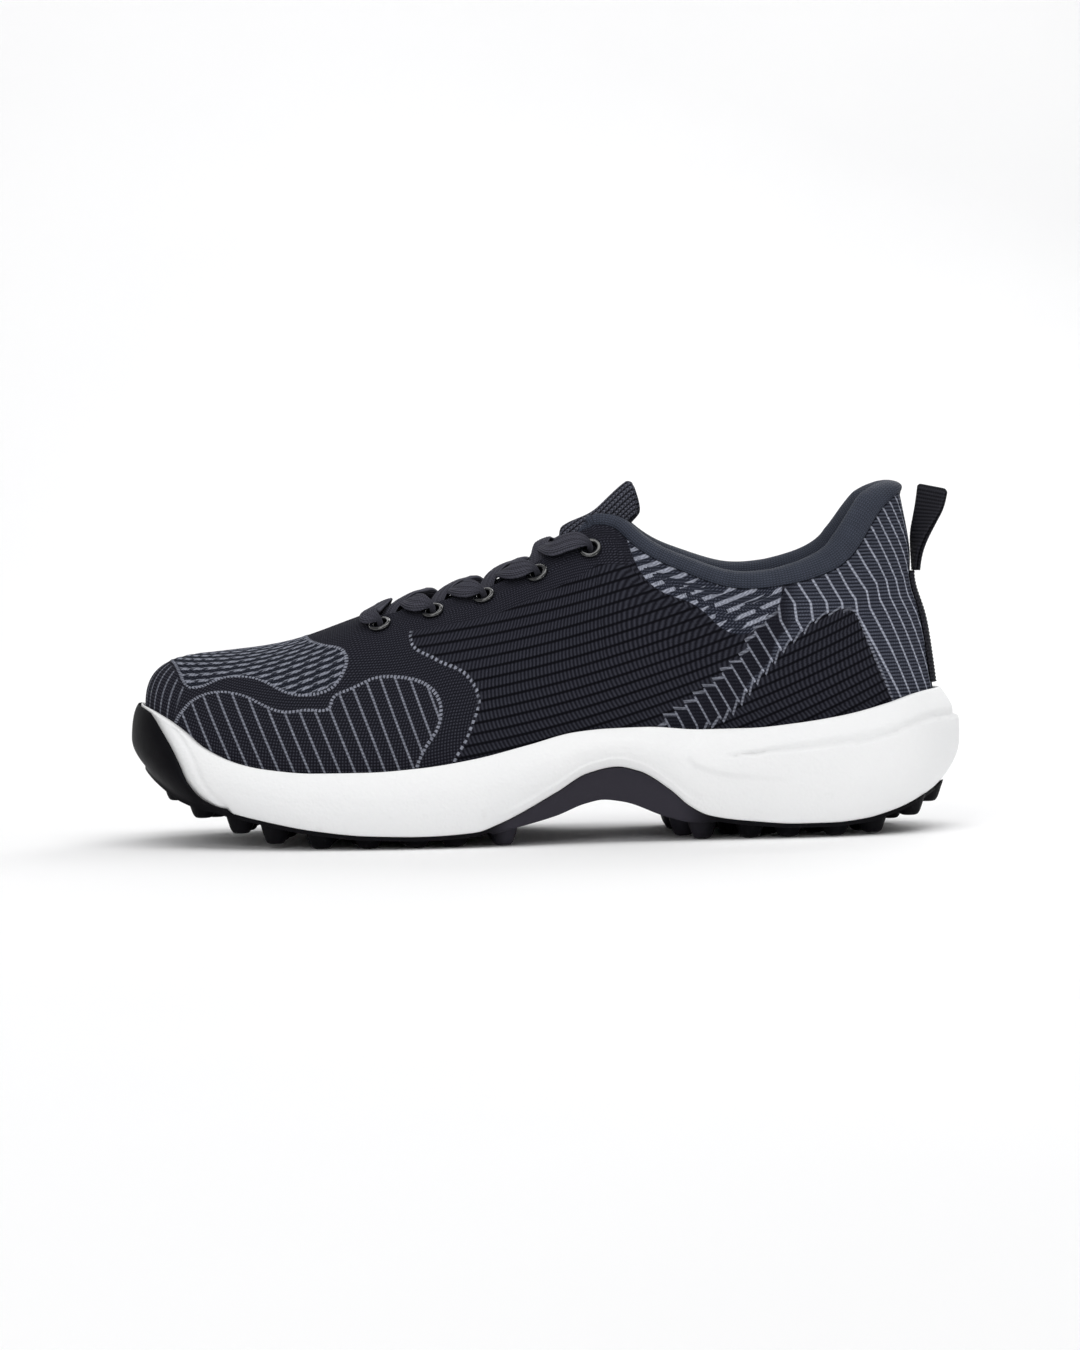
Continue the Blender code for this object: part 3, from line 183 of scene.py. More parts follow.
def open_spline(points):
    """Natural cubic spline through points, as a function of the chord length share from 0 to 1."""
    points = np.array(points, float)
    length = np.append(0, np.cumsum(np.linalg.norm(np.diff(points[:, :3], axis=0), axis=1)))
    knots = length / length[-1]
    n, step = len(knots), np.diff(knots)
    system, right = np.eye(n), np.zeros_like(points)
    for k in range(1, n - 1):
        system[k, k - 1 : k + 2] = step[k - 1], 2 * (step[k - 1] + step[k]), step[k]
        right[k] = 6 * ((points[k + 1] - points[k]) / step[k] - (points[k] - points[k - 1]) / step[k - 1])
    bend = np.linalg.solve(system, right)

    def value(q):
        q = np.asarray(q, float)
        k = np.clip(np.searchsorted(knots, q) - 1, 0, n - 2)
        h = step[k][..., None]
        share = (q - knots[k])[..., None] / h
        return cubic(points[k], points[k + 1], bend[k], bend[k + 1], share, h)

    return value, length[-1]


# ---- the sole's lines, in millimetres
# Widest outline of the midsole, lateral and medial: u, x, y.
OUTLINE = loop_spline(
    [
        (0, -147.5, 8.5), (0.05, -144.6, -8), (0.1, -136.5, -22), (0.2, -109.5, -41.5), (0.3, -77, -51),
        (0.4, -44, -53.3), (0.5, -11, -50.3), (0.6, 22, -45.6), (0.7, 55, -42), (0.8, 88, -40.5),
        (0.88, 115, -37.2), (0.94, 135, -27.5), (0.975, 145.5, -14.5), (1, 150, -1),
    ],
    [
        (0.05, -143.2, 24), (0.1, -133, 36.5), (0.2, -104, 48.9), (0.3, -72, 53.1), (0.4, -40, 48),
        (0.5, -8, 41.5), (0.6, 24, 37.6), (0.7, 56, 37.4), (0.8, 88, 38.7), (0.88, 114.5, 36),
        (0.94, 134.5, 27), (0.975, 145.3, 13.5),
    ],
)  # fmt: skip

SOLE_EDGE = steady(
    [
        (-151, 36), (-147, 31.5), (-142, 28), (-137, 24), (-128, 18), (-115, 13.8), (-100, 10.2),
        (-82, 6.8), (-63, 4.8), (-44, 4.3), (-25, 5.3), (-17, 8), (3.6, 18.6), (14.8, 25), (25, 27),
        (33, 25.2), (44, 18.2), (50.6, 12.4), (57.5, 8.8), (72.5, 6.4), (89.5, 5.1), (101, 5.1),
        (112, 6), (123.5, 8.6), (135, 12.9), (141, 15.8), (151, 22),
    ]
)  # fmt: skip
RIM = steady(
    [
        (-151, 51), (-145, 49.8), (-138, 46.5), (-131, 42), (-123, 36), (-110, 30.6), (-100, 28.5),
        (-82, 27), (-63, 27.1), (-44, 28.3), (-25, 31), (-6, 35.4), (11, 39.5), (22, 40.4), (36, 40.6),
        (56, 39.2), (73, 39.3), (90, 40.7), (107, 43.1), (124, 46.9), (138, 50.3), (151, 51.2),
    ]
)  # fmt: skip
FOOTBED = steady(
    [
        (-151, 34), (-143, 32.5), (-132, 28), (-115, 22.5), (-90, 18.6), (-60, 18), (-30, 22), (0, 29),
        (25, 32.6), (50, 31.4), (80, 29.2), (110, 29.6), (140, 32.5), (151, 33.5),
    ]
)  # fmt: skip
# Underside of the rubber bridge below the arch.
BRIDGE = steady(
    [(-19, 4.4), (-14, 5.6), (3.5, 10.2), (14, 14.2), (20, 15.3), (27, 14.4), (43, 8.4), (52, 6.3), (60, 6.2)]
)
STUD_TIP = steady(
    [
        (-145, 26.5), (-138, 19.4), (-129.4, 13.2), (-118.7, 8.4), (-106, 4.2), (-93, 1), (-82, 0),
        (112, 0), (125, 3.2), (136, 8.6), (145, 13),
    ]
)  # fmt: skip
BUMPER_TOP = steady(
    [
        (-151, 51.6), (-145, 50.2), (-140.5, 46.3), (-136.7, 41.5), (-132.5, 35.7), (-129.3, 30),
        (-126.5, 23.5), (-122, 17.6), (-116, 14.9), (-100, 14),
    ]
)  # fmt: skip

# How far the midsole wall draws in at its foot and at its rim: u, foot, rim.
DRAW_IN_STATIONS = [
    (0, 5, 1.0), (0.06, 4.6, 1.6), (0.12, 4, 2.4), (0.2, 3.4, 3.2), (0.3, 3.2, 3.8), (0.5, 3.2, 4),
    (0.7, 3.2, 4), (0.85, 3.8, 4.2), (0.95, 6, 5.8), (1, 7, 6.6),
]  # fmt: skip
DRAW_IN = loop_spline(DRAW_IN_STATIONS, DRAW_IN_STATIONS)

# ---- the upper's stations, in millimetres
# u, top point x y z, foot inset, lower handle up and out, upper handle out and down.
RIDGE_STATIONS = [
    (0, -121, 8, 68.2, 5.0, 26, 7.1, 23, 0),
    (0.1, -104.5, 6.8, 69.9, 6.4, 26, 6, 25, 0),
    (0.2, -86, 5.8, 73.6, 8.0, 26, 4.6, 28, 0),
    (0.3, -66, 4.8, 80.5, 8.9, 27, 3.6, 31, 0),
    (0.4, -42, 3.6, 87.4, 9.0, 30, 3.0, 31, 0.5),
    (0.5, -15, 2.3, 95.6, 9.0, 34, 2.2, 28, 1.5),
    (0.57, 5, 1.2, 108.6, 9.0, 38, 1, 24, 4),
]
# u, x, lateral y z, medial y z, then as above.
COLLAR_STATIONS = [
    (0.61, 19, -2.5, 115.8, 5.5, 115.8, 9.0, 40, 0, 18, 9),
    (0.65, 32, -16.5, 105.2, 18, 106.2, 9.0, 37, -0.8, 9, 17),
    (0.7, 49, -26, 95.2, 26, 96.8, 9.0, 33, -0.8, 4.5, 21),
    (0.75, 66, -30.6, 88.9, 29.6, 91, 9.0, 29, -0.8, 2.5, 22),
    (0.8, 83, -31.6, 88.7, 30.2, 90.8, 9.0, 28, -1.2, 2, 22),
    (0.85, 99, -29.2, 92, 28, 93.8, 9.0, 28, -1.8, 2, 22),
    (0.9, 112, -24.8, 100, 23.6, 101.4, 8.6, 28, -2, 2.4, 22),
    (0.95, 122, -16.2, 114.5, 15, 115, 7.8, 29, -2.6, 3.6, 22),
    (1, 130.4, -0.5, 121.6, -0.5, 121.6, 7.0, 29, -2.2, 4.4, 22),
]
LATERAL_COLLAR = [(u, x, y, z, *rest) for u, x, y, z, _, _, *rest in COLLAR_STATIONS]
MEDIAL_COLLAR = [(u, x, y, z, *rest) for u, x, _, _, y, z, *rest in COLLAR_STATIONS]
# The tongue's own crest carries on past the facings to the tip.
TONGUE_CREST = [
    (0.61, 18, 0.6, 119, 9.0, 40, 0, 20, 6),
    (0.65, 30, 0.2, 129.4, 9.0, 40, 0, 18, 8),
    (0.7, 44, 0, 133, 9.0, 40, 0, 16, 10),
    (1, 130.4, 0, 160, 7.0, 29, -2.2, 4.4, 22),
]
SKIN_TABLE = loop_spline(RIDGE_STATIONS + LATERAL_COLLAR, RIDGE_STATIONS + MEDIAL_COLLAR)
TONGUE_TABLE = loop_spline(RIDGE_STATIONS + TONGUE_CREST, RIDGE_STATIONS + TONGUE_CREST)
RIDGE_SLOPE = steady(
    [(-151, 0), (-110, 70), (-85, 270), (-66, 300), (-30, 280), (-5, 600), (8, 580), (20, 520), (40, 520)]
)  # thousandths, by x
HEEL_PINCH_Z, HEEL_PINCH = 89 * MM, 2.1 * MM

# Thousandths of the girth at which the throat is cut, by thousandths of u.
FACING_EDGE = steady(
    [
        (302, 1000), (304, 958), (308, 922), (322, 875), (360, 845), (430, 834), (500, 825), (570, 820),
        (605, 850),
    ]
)  # fmt: skip


def along(w):
    """0 at the toe to 1 at the heel, on either side."""
    w = np.mod(w, 2)
    return np.where(w > 1, 2 - w, w)


def outline(w, inset=0.0):
    """Plan point on the midsole's widest outline, moved in by inset, and the outward normal."""
    w = np.asarray(w, float)
    here = OUTLINE(w) * MM
    tangent = unit((OUTLINE(w + 1e-4) - OUTLINE(w - 1e-4)) * MM)
    normal = np.stack([tangent[..., 1], -tangent[..., 0]], -1)
    return here - normal * np.asarray(inset)[..., None], normal


def skin(w, t, table=None):
    """The upper's outer surface: t is 0 at the footbed and 1 at the crest or the collar seam."""
    w, t = np.broadcast_arrays(np.asarray(w, float), np.asarray(t, float))
    row = (table or SKIN_TABLE)(w) * MM
    top, foot_inset, up1, out1, out2, down2 = row[..., :3], *(row[..., k] for k in range(3, 8))
    foot, normal = outline(w, foot_inset)
    foot = np.concatenate([foot, FOOTBED(foot[..., 0])[..., None]], -1)
    level = np.concatenate([normal, np.zeros_like(normal[..., :1])], -1)
    slope = RIDGE_SLOPE(top[..., 0]) * (along(w) < 0.75)
    rise = np.array([0.0, 0.0, 1.0])
    low = foot + up1[..., None] * rise + out1[..., None] * level
    tilt = (out2 * normal[..., 0] * slope - down2)[..., None] * rise
    high = top + out2[..., None] * level + tilt
    t = t[..., None]
    point = foot * (1 - t) ** 3 + 3 * low * t * (1 - t) ** 2 + 3 * high * t * t * (1 - t) + top * t**3
    near_heel = np.clip((along(w) - 0.9) / 0.1, 0, 1)
    pinch = HEEL_PINCH * near_heel * bell(point[..., 2] - HEEL_PINCH_Z, 9 * MM)
    return point - pinch[..., None] * level


def skin_frame(w, t, table=None):
    """Point, outward normal and upward tangent of the skin."""
    w, t = np.broadcast_arrays(np.asarray(w, float), np.asarray(t, float))
    inside = np.clip(t, 0.002, 0.985)
    d_w = skin(w + 2e-3, inside, table) - skin(w - 2e-3, inside, table)
    d_t = skin(w, inside + 2e-3, table) - skin(w, inside - 2e-3, table)
    normal = unit(np.cross(d_w, d_t))
    centre = np.array([0, 0, 45 * MM])
    outward = np.sum(normal * (skin(w, inside, table) - centre), -1, keepdims=True)
    normal = np.where(outward < 0, -normal, normal)
    return skin(w, t, table), normal, unit(d_t)


def under_skin(w, t, depth, table=None):
    """A point that far inside the skin; a negative depth stands outside it."""
    point, normal, _ = skin_frame(w, t, table)
    return point - normal * np.asarray(depth)[..., None]


def top_share(w):
    """The t of the upper's top edge: the crest, the throat's edge or the collar seam."""
    u = along(w)
    edge = FACING_EDGE(u)
    corner = ease(u, FACING_END, COLLAR_FULL)
    return np.where(u < THROAT_START, 1.0, np.where(u < FACING_END, edge, 0.87 + 0.13 * corner))


# ---- lines of the sole
BUMPER_GAP = 1.2 * MM
BUMPER_END = 0.19  # u where the toe bumper runs out
ARCH = (-19 * MM, 60 * MM)


def wall(w, share, out=0.0):
    """Point on the midsole's outer wall; share is 0 at its bottom edge and 1 at its rim."""
    foot, rim = (DRAW_IN(w) * MM).T
    inset = foot * np.clip(1 - share / 0.45, 0, 1) ** 2 + rim * np.clip(share / 0.5 - 1, 0, 1) ** 2
    bottom = SOLE_EDGE(outline(w, foot)[0][:, 0])
    top = RIM(outline(w, rim)[0][:, 0])
    flat, _ = outline(w, inset - out)
    return np.column_stack([flat, bottom + (top - bottom) * share])


def share_at_height(w, height):
    """The t at which the skin reaches a height."""
    low, high = np.zeros_like(w), np.full_like(w, 0.7)
    for _ in range(30):
        middle = (low + high) / 2
        below = skin(w, middle)[..., 2] < height
        low, high = np.where(below, middle, low), np.where(below, high, middle)
    return (low + high) / 2


def sole_bottom(x):
    """Underside of the rubber, without its studs."""
    sheet = SOLE_EDGE(x) - GAP - SHEET
    return np.where((x > ARCH[0]) & (x < ARCH[1]), np.minimum(sheet, BRIDGE(x)), sheet)


def bumper_share(w):
    """How far up the midsole wall the toe bumper reaches."""
    foot = outline(w, DRAW_IN(w)[:, 0] * MM)[0][:, 0]
    bottom, top = SOLE_EDGE(foot), RIM(outline(w, DRAW_IN(w)[:, 1] * MM)[0][:, 0])
    share = (BUMPER_TOP(outline(w)[0][:, 0]) - bottom) / (top - bottom)
    return np.where(along(w) < BUMPER_END, np.clip(share, 0, 1), 0)


def stud_centres():
    """Rows that follow the outline, each stud clear of those already placed."""
    placed = []
    fine = np.linspace(0.985, -1.015, 4001)
    for inset in (11.2 * MM, 25.5 * MM, 39.5 * MM):
        line = outline(fine, inset)[0]
        way = np.append(0, np.cumsum(np.linalg.norm(np.diff(line, axis=0), axis=1)))
        for distance in np.arange(0, way[-1], STUD_PITCH / 4):
            centre = line[np.searchsorted(way, distance)]
            forefoot, heel = -143 * MM < centre[0] < -15 * MM, 44 * MM < centre[0] < 141 * MM
            inside = abs(centre[1]) < 46 * MM
            if (forefoot or heel) and inside and all(math.dist(centre, p) > STUD_PITCH for p in placed):
                placed.append(tuple(centre))
    return placed


def upright(point, normal):
    """Places local Z along normal at point."""
    return Matrix.Translation(Vector(point)) @ Vector(normal).to_track_quat("Z", "Y").to_matrix().to_4x4()


# ---- eyelets, collar, tongue and lace
EYELET_X = [-58.2 * MM, -39.2 * MM, -20.8 * MM, -1.5 * MM, 17.6 * MM]
EYELET_FROM_EDGE = (0.085, 0.073, 0.063, 0.083, 0.13)  # share of the girth from the throat's edge to each


def eyelet_place(k, side):
    """w and t of an eyelet; side is 1 on the lateral and -1 on the medial."""
    low, high = THROAT_START, FACING_END
    for _ in range(30):
        middle = (low + high) / 2
        x = skin(middle, float(top_share(middle)) - EYELET_FROM_EDGE[k])[0]
        low, high = (middle, high) if x < EYELET_X[k] else (low, middle)
    w = low if side > 0 else 2 - low
    return w, float(top_share(w)) - EYELET_FROM_EDGE[k]


def eyelet_frame(k, side):
    """Where an eyelet sits, its local Z along the skin's normal."""
    w, t = eyelet_place(k, side)
    point, normal, _ = skin_frame(w, t)
    return upright(point, normal)


COLLAR_ROLL = [  # inward and upward from the collar seam, in millimetres; upward is scaled above the seam
    (0.1, 0.1), (-0.5, 0.45), (0.7, 0.85), (3.2, 1.0), (6.0, 0.8), (7.7, 0.3), (8.3, -4), (8.0, -10),
    (6.8, -16),
    (5.0, -21),
]  # fmt: skip
FRONT_DEPTH = 3.6  # further inward at the roll's foot, where its front ends are thin
COLLAR_BULGE = [(0.6, 2.2), (0.63, 1.8), (0.67, 0)]  # how far the front corners stand off the skin
BULGE_SHARE = (0, 0.6, 1, 1, 1, 0.6, 0, 0, 0, 0)  # of that, at each point of the roll
COLLAR_HEIGHT = [
    (0.6, 4), (0.64, 5), (0.7, 5.6), (0.8, 6.6), (0.9, 9.5), (0.95, 9), (0.975, 6.3), (1, 3.4),
]  # fmt: skip


def collar_point(w, inward, rise):
    """A point near the collar seam; rise runs square to it, and below it the point follows the skin."""
    top = top_share(w)
    girth = np.linalg.norm(skin(w, top) - skin(w, top - 0.1), axis=-1) / 0.1
    _, _, up = skin_frame(w, top)
    seam = unit(skin(w + 3e-3, top_share(w + 3e-3)) - skin(w - 3e-3, top_share(w - 3e-3)))
    up = unit(up - np.sum(up * seam, -1, keepdims=True) * seam)
    return under_skin(w, top + np.minimum(rise, 0) / girth, inward) + up * np.maximum(rise, 0)[..., None]


def collar_profile(w, grow):
    """The collar's roll at each w, moved towards its own outside by grow."""
    roll = np.array(COLLAR_ROLL)
    u = along(w)
    height = np.interp(u, *zip(*COLLAR_HEIGHT))
    plump = 0.37 + 0.63 * np.clip((u - COLLAR_START) / 0.1, 0, 1)
    inward = roll[None, :, 0] * plump[:, None]
    deep = np.clip(-roll[None, :, 1] / 21, 0, 1)
    inward = inward + deep * (1 - plump[:, None]) * FRONT_DEPTH
    rise = np.where(roll[None, :, 1] > 0, roll[None, :, 1] * height[:, None], roll[None, :, 1])
    bulge = np.interp(u, *zip(*COLLAR_BULGE))
    inward = inward - bulge[:, None] * np.array(BULGE_SHARE)
    line = np.stack([inward, rise], -1)
    tangent = unit(np.gradient(line, axis=1))
    outside = np.stack([-tangent[..., 1], tangent[..., 0]], -1)
    return (line + outside * grow / MM) * MM


TONGUE_DEPTH = 6.7 * MM  # room above the tongue for the lace under the facings
# How far the tongue's middle rises from that depth, by share of its half-width.
TONGUE_RISE = [(0, 4.4), (0.2, 3.7), (0.4, 1.9), (0.6, 0.3), (0.8, 0)]
TONGUE_GAP = 0.5 * MM
TONGUE_MESH = 0.9 * MM
TONGUE_FOAM = 2.2 * MM
TONGUE_REACH = (0.315, 0.656)  # u of its stitched base and of its tip
TONGUE_HALF_WIDTH = 0.25  # share of the girth on each side of the crest
TONGUE_WIDTH = [(0.315, 0.6), (0.36, 1), (0.58, 0.95), (0.656, 0.85)]  # of that, by u


def tongue_grid(u, across):
    """Skin points over the tongue, the directions of its depth, and how far it rises from that depth."""
    narrow = np.interp(u, *zip(*TONGUE_WIDTH))
    t = 1 - np.abs(across)[None] * TONGUE_HALF_WIDTH * narrow[:, None]
    w = np.where(across[None] < 0, u[:, None], 2 - u[:, None])
    point, normal, _ = skin_frame(w, t, TONGUE_TABLE)
    crest = unit(skin_frame(u, 1.0, TONGUE_TABLE)[1] + skin_frame(2 - u, 1.0, TONGUE_TABLE)[1])
    share = bell(across, 0.45)[None, :, None]
    normal = unit(normal * (1 - share) + crest[:, None] * share)
    start = np.clip((u - TONGUE_REACH[0]) / 0.02, 0, 1)
    rise = np.interp(np.abs(across), *zip(*TONGUE_RISE))[None] * MM * start[:, None]
    return point, normal, rise


OVER_EDGE = 1.3 * MM  # height of the lace's middle over the knit
OVER_FLANGE = 2.4 * MM
UNDER_FLANGE = 4.9 * MM  # depth of the lace's middle under the facing
LACE_CROSSING = (0.4, 0.36, 0.33, 0.24)  # where the strands cross between one eyelet and the next
LACE_LEAD = (4 * MM, 6.5 * MM, 7 * MM, 7.5 * MM, 9 * MM)  # towards the toe, where a strand meets the facing
GIRTH_PER_U = 272 * MM  # length of the facing for one unit of u
LACE_MIDDLE_Y, LACE_REACH_Y, LACE_LEAN = 2.5 * MM, 17 * MM, 48  # the facings lean out by so many degrees


def lace_stop(k, side, inward, depth, lead=0.0):
    """A point near an eyelet: inward is towards the throat, depth below the skin, lead towards the toe."""
    w, t = eyelet_place(k, side)
    point, normal, up = skin_frame(w - side * lead / GIRTH_PER_U, t)
    return point + up * inward - normal * depth


def lace_mid(k, lift):
    """Where the two strands between eyelets k and k + 1 cross over the crest."""
    low, high = eyelet_place(k, 1)[0], eyelet_place(k + 1, 1)[0]
    point = skin(low + (high - low) * LACE_CROSSING[k], 0.985)
    return np.array([point[0], (skin(low, 1.0)[1] + skin(high, 1.0)[1]) / 2, point[2] + lift])


def lace_route():
    """Points, half-widths and half-thicknesses of the whole lace, from one tail to the other."""
    flat = (LACE_HALF_WIDTH, LACE_HALF_THICKNESS)
    tight = (LACE_CORE_R, LACE_CORE_R)
    medium = (2.2 * MM, 0.85 * MM)
    broad = (LACE_BROAD, 0.8 * MM)

    def into(k, side):
        """Down through an eyelet from outside, then back under the facing."""
        return [
            (lace_stop(k, side, 6.6 * MM, -OVER_EDGE, LACE_LEAD[k]), flat),
            (lace_stop(k, side, 2.9 * MM, -OVER_FLANGE, 3 * MM), broad),
            (lace_stop(k, side, 0.7 * MM, -1.5 * MM), tight),
            (lace_stop(k, side, 0, 0.4 * MM), tight),
            (lace_stop(k, side, 0, 2.4 * MM), tight),
            (lace_stop(k, side, 0.8 * MM, 4.4 * MM), (1.4 * MM, 0.85 * MM)),
            (lace_stop(k, side, 3.6 * MM, UNDER_FLANGE), medium),
        ]

    def strand(first_side):
        stops, side = into(0, first_side), first_side
        for k in range(len(EYELET_X) - 1):
            lift = 1.2 * MM if (k % 2 == 0) == (first_side > 0) else -0.7 * MM
            stops.append((lace_stop(k, side, 8.6 * MM, 3.8 * MM), flat))
            stops.append((lace_mid(k, lift), flat))
            side = -side
            stops += into(k + 1, side)
        return stops, side

    def tail(side):
        """The end tucked away between the tongue and the facing."""
        return [
            (lace_stop(4, side, -2.0 * MM, UNDER_FLANGE), medium),
            (lace_stop(4, side, -8.0 * MM, 5.6 * MM), medium),
            (lace_stop(4, side, -15.0 * MM, 8.4 * MM), medium),
        ]

    ahead, side_ahead = strand(1)
    behind, side_behind = strand(-1)
    ahead = ahead[:-1] + tail(side_ahead)
    behind = behind[:-1] + tail(side_behind)
    crest = skin(eyelet_place(0, 1)[0], 1.0)
    bar = [(np.array([crest[0] - 1.0 * MM, crest[1], crest[2] + 1.6 * MM]), flat)]
    return behind[::-1] + bar + ahead


def lace_across(line):
    """Directions across the flat lace, lying in the facing's surface and turning steadily."""
    ahead = unit(np.gradient(line, axis=0))
    lean = np.clip((line[:, 1] - LACE_MIDDLE_Y) / LACE_REACH_Y, -1, 1) * math.radians(LACE_LEAN)
    outward = np.stack([np.full_like(lean, -0.4), np.sin(lean), np.cos(lean)], 1)
    across = np.cross(ahead, outward)
    for k in range(1, len(across)):
        if across[k] @ across[k - 1] < 0:
            across[k] = -across[k]
        across[k] += across[k - 1] * max(0.0, 0.8 - np.linalg.norm(across[k]))
    return unit(across)


LOOP_PATH = [
    (135.4, -0.8, 93.3), (136, -0.8, 100.5), (137.7, -0.8, 107.5), (140.4, -0.8, 115),
    (141.8, -0.8, 121.6),
]  # fmt: skip
LOOP_TWIST = [0, 10, 30, 52, 62]  # degrees about the vertical
LOOP_GAP = 1.9 * MM  # between the middles of the folded loop's two legs


# ---- meshes
SIDE_STEPS = 281
ROWS = 132


def fine_columns():
    """Dense values of u from toe to heel, with one exactly at the throat's closed end."""
    first = np.linspace(0, 1, 90) ** 1.12 * THROAT_START
    second = THROAT_START + (np.linspace(0, 1, SIDE_STEPS - 89)) * (1 - THROAT_START)
    return np.concatenate([first, second[1:]])


SIDE = fine_columns()
LOOP = np.concatenate([SIDE, 2 - SIDE[-2:0:-1]])


def placed(name, data):
    """A new object in the scene."""
    thing = bpy.data.objects.new(name, data)
    bpy.context.scene.collection.objects.link(thing)
    return thing


def shape(name, points, faces, values=None):
    """A mesh object whose faces point outwards, with named numbers on its vertices."""
    mesh = bpy.data.meshes.new(name)
    mesh.from_pydata(np.asarray(points, float).tolist(), [], [list(map(int, f)) for f in faces])
    for key, value in (values or {}).items():
        layer_ = mesh.attributes.new(key, "FLOAT", "POINT")
        layer_.data.foreach_set("value", np.ascontiguousarray(value, np.float32).ravel())
    work = bmesh.new()
    work.from_mesh(mesh)
    bmesh.ops.recalc_face_normals(work, faces=work.faces)
    if work.calc_volume(signed=True) < 0:
        bmesh.ops.reverse_faces(work, faces=work.faces)
    loose = [v for v in work.verts if not v.link_faces]
    bmesh.ops.delete(work, geom=loose, context="VERTS")
    work.to_mesh(mesh)
    work.free()
    mesh.shade_smooth()
    return placed(name, mesh)


def ring_faces(count, sides, wrap=False):
    """Quads over a row of closed rings, with end caps unless the row itself closes."""
    k, i = np.meshgrid(np.arange(count if wrap else count - 1), np.arange(sides), indexing="ij")
    here, ahead = k * sides, (k + 1) % count * sides
    j = (i + 1) % sides
    faces = np.stack([here + i, here + j, ahead + j, ahead + i], -1).reshape(-1, 4).tolist()
    if not wrap:
        faces += [list(range(sides)), [(count - 1) * sides + i for i in range(sides)]]
    return faces


def rings_shape(name, rings, values=None, wrap=False):
    """A mesh object over a grid of closed rings."""
    rings = np.asarray(rings)
    return shape(name, rings.reshape(-1, 3), ring_faces(*rings.shape[:2], wrap), values)


def cloth_shape(name, rings, row):
    """Rings that know the way along the cloth, taken at one point of each ring, and the way over it."""
    way = spread_across(walked(rings[:, row]), rings.shape[1])
    return rings_shape(name, rings, {"around": way, "over": walked(rings, 1)})


def smooth_line(points, per_piece=8):
    """A fine polyline through points."""
    spline, _ = open_spline(points)
    return spline(np.linspace(0, 1, per_piece * (len(points) - 1) + 1))


def edge_distance(x, y, corners, closed=True):
    """Distance to an outline, negative inside it, and how far along it the nearest place lies."""
    corners = np.asarray(corners, float)
    ends = np.roll(corners, -1, 0) if closed else corners[1:]
    best, place = np.full(x.shape, 1e9), np.zeros(x.shape)
    inside, start = np.zeros(x.shape, bool), 0.0
    for p, q in zip(corners, ends):
        d = q - p
        length = max(float(np.hypot(*d)), 1e-9)
        s = np.clip(((x - p[0]) * d[0] + (y - p[1]) * d[1]) / length**2, 0, 1)
        gap = np.hypot(x - p[0] - s * d[0], y - p[1] - s * d[1])
        closer = gap < best
        best, place = np.where(closer, gap, best), np.where(closer, start + s * length, place)
        start += length
        if d[1] != 0:
            inside ^= ((p[1] > y) != (q[1] > y)) & (x < d[0] * (y - p[1]) / d[1] + p[0])
    return (np.where(inside, -best, best) if closed else best), place


# ---- materials
def operation(kind, swapped=False):
    """A method that adds one node of arithmetic."""
    if swapped:
        return lambda self, other: self.look.math(kind, other, self)
    return lambda self, *others: self.look.math(kind, self, *others)


class Value:
    """A number in a material's nodes, with arithmetic."""

    __add__ = __radd__ = operation("ADD")
    __mul__ = __rmul__ = operation("MULTIPLY")
    __sub__, __rsub__ = operation("SUBTRACT"), operation("SUBTRACT", swapped=True)
    __truediv__ = operation("DIVIDE")
    abs, fract, floor = operation("ABSOLUTE"), operation("FRACT"), operation("FLOOR")
    most = operation("MAXIMUM")

    def __init__(self, look, socket):
        self.look, self.socket = look, socket

    def wave(self):
        """1 at whole numbers and 0 half way between."""
        return self.look.math("COSINE", self * (2 * math.pi)) * 0.5 + 0.5

    def line(self, half, soft):
        """1 within half of a whole number, fading over soft on each side of that."""
        return ((self + 0.5).fract() - 0.5).abs().under(half - soft, half + soft)

    def ridge(self):
        """1 at whole numbers and 0 half way between, straight."""
        return ((self + 0.5).fract() - 0.5).abs() * -2 + 1

    def over(self, low, high):
        """0 below low, 1 above high, smooth between."""
        node = self.look.node("ShaderNodeMapRange")
        node.interpolation_type = "SMOOTHSTEP"
        self.look.tree.links.new(self.socket, node.inputs["Value"])
        node.inputs["From Min"].default_value, node.inputs["From Max"].default_value = low, high
        return Value(self.look, node.outputs[0])

    def under(self, low, high):
        """1 below low, 0 above high, smooth between."""
        return 1 - self.over(low, high)


def srgb(*parts):
    """Linear colour of an 8-bit sRGB triple."""
    shares = [p / 255 for p in parts]
    return tuple(s / 12.92 if s <= 0.04045 else ((s + 0.055) / 1.055) ** 2.4 for s in shares) + (1.0,)


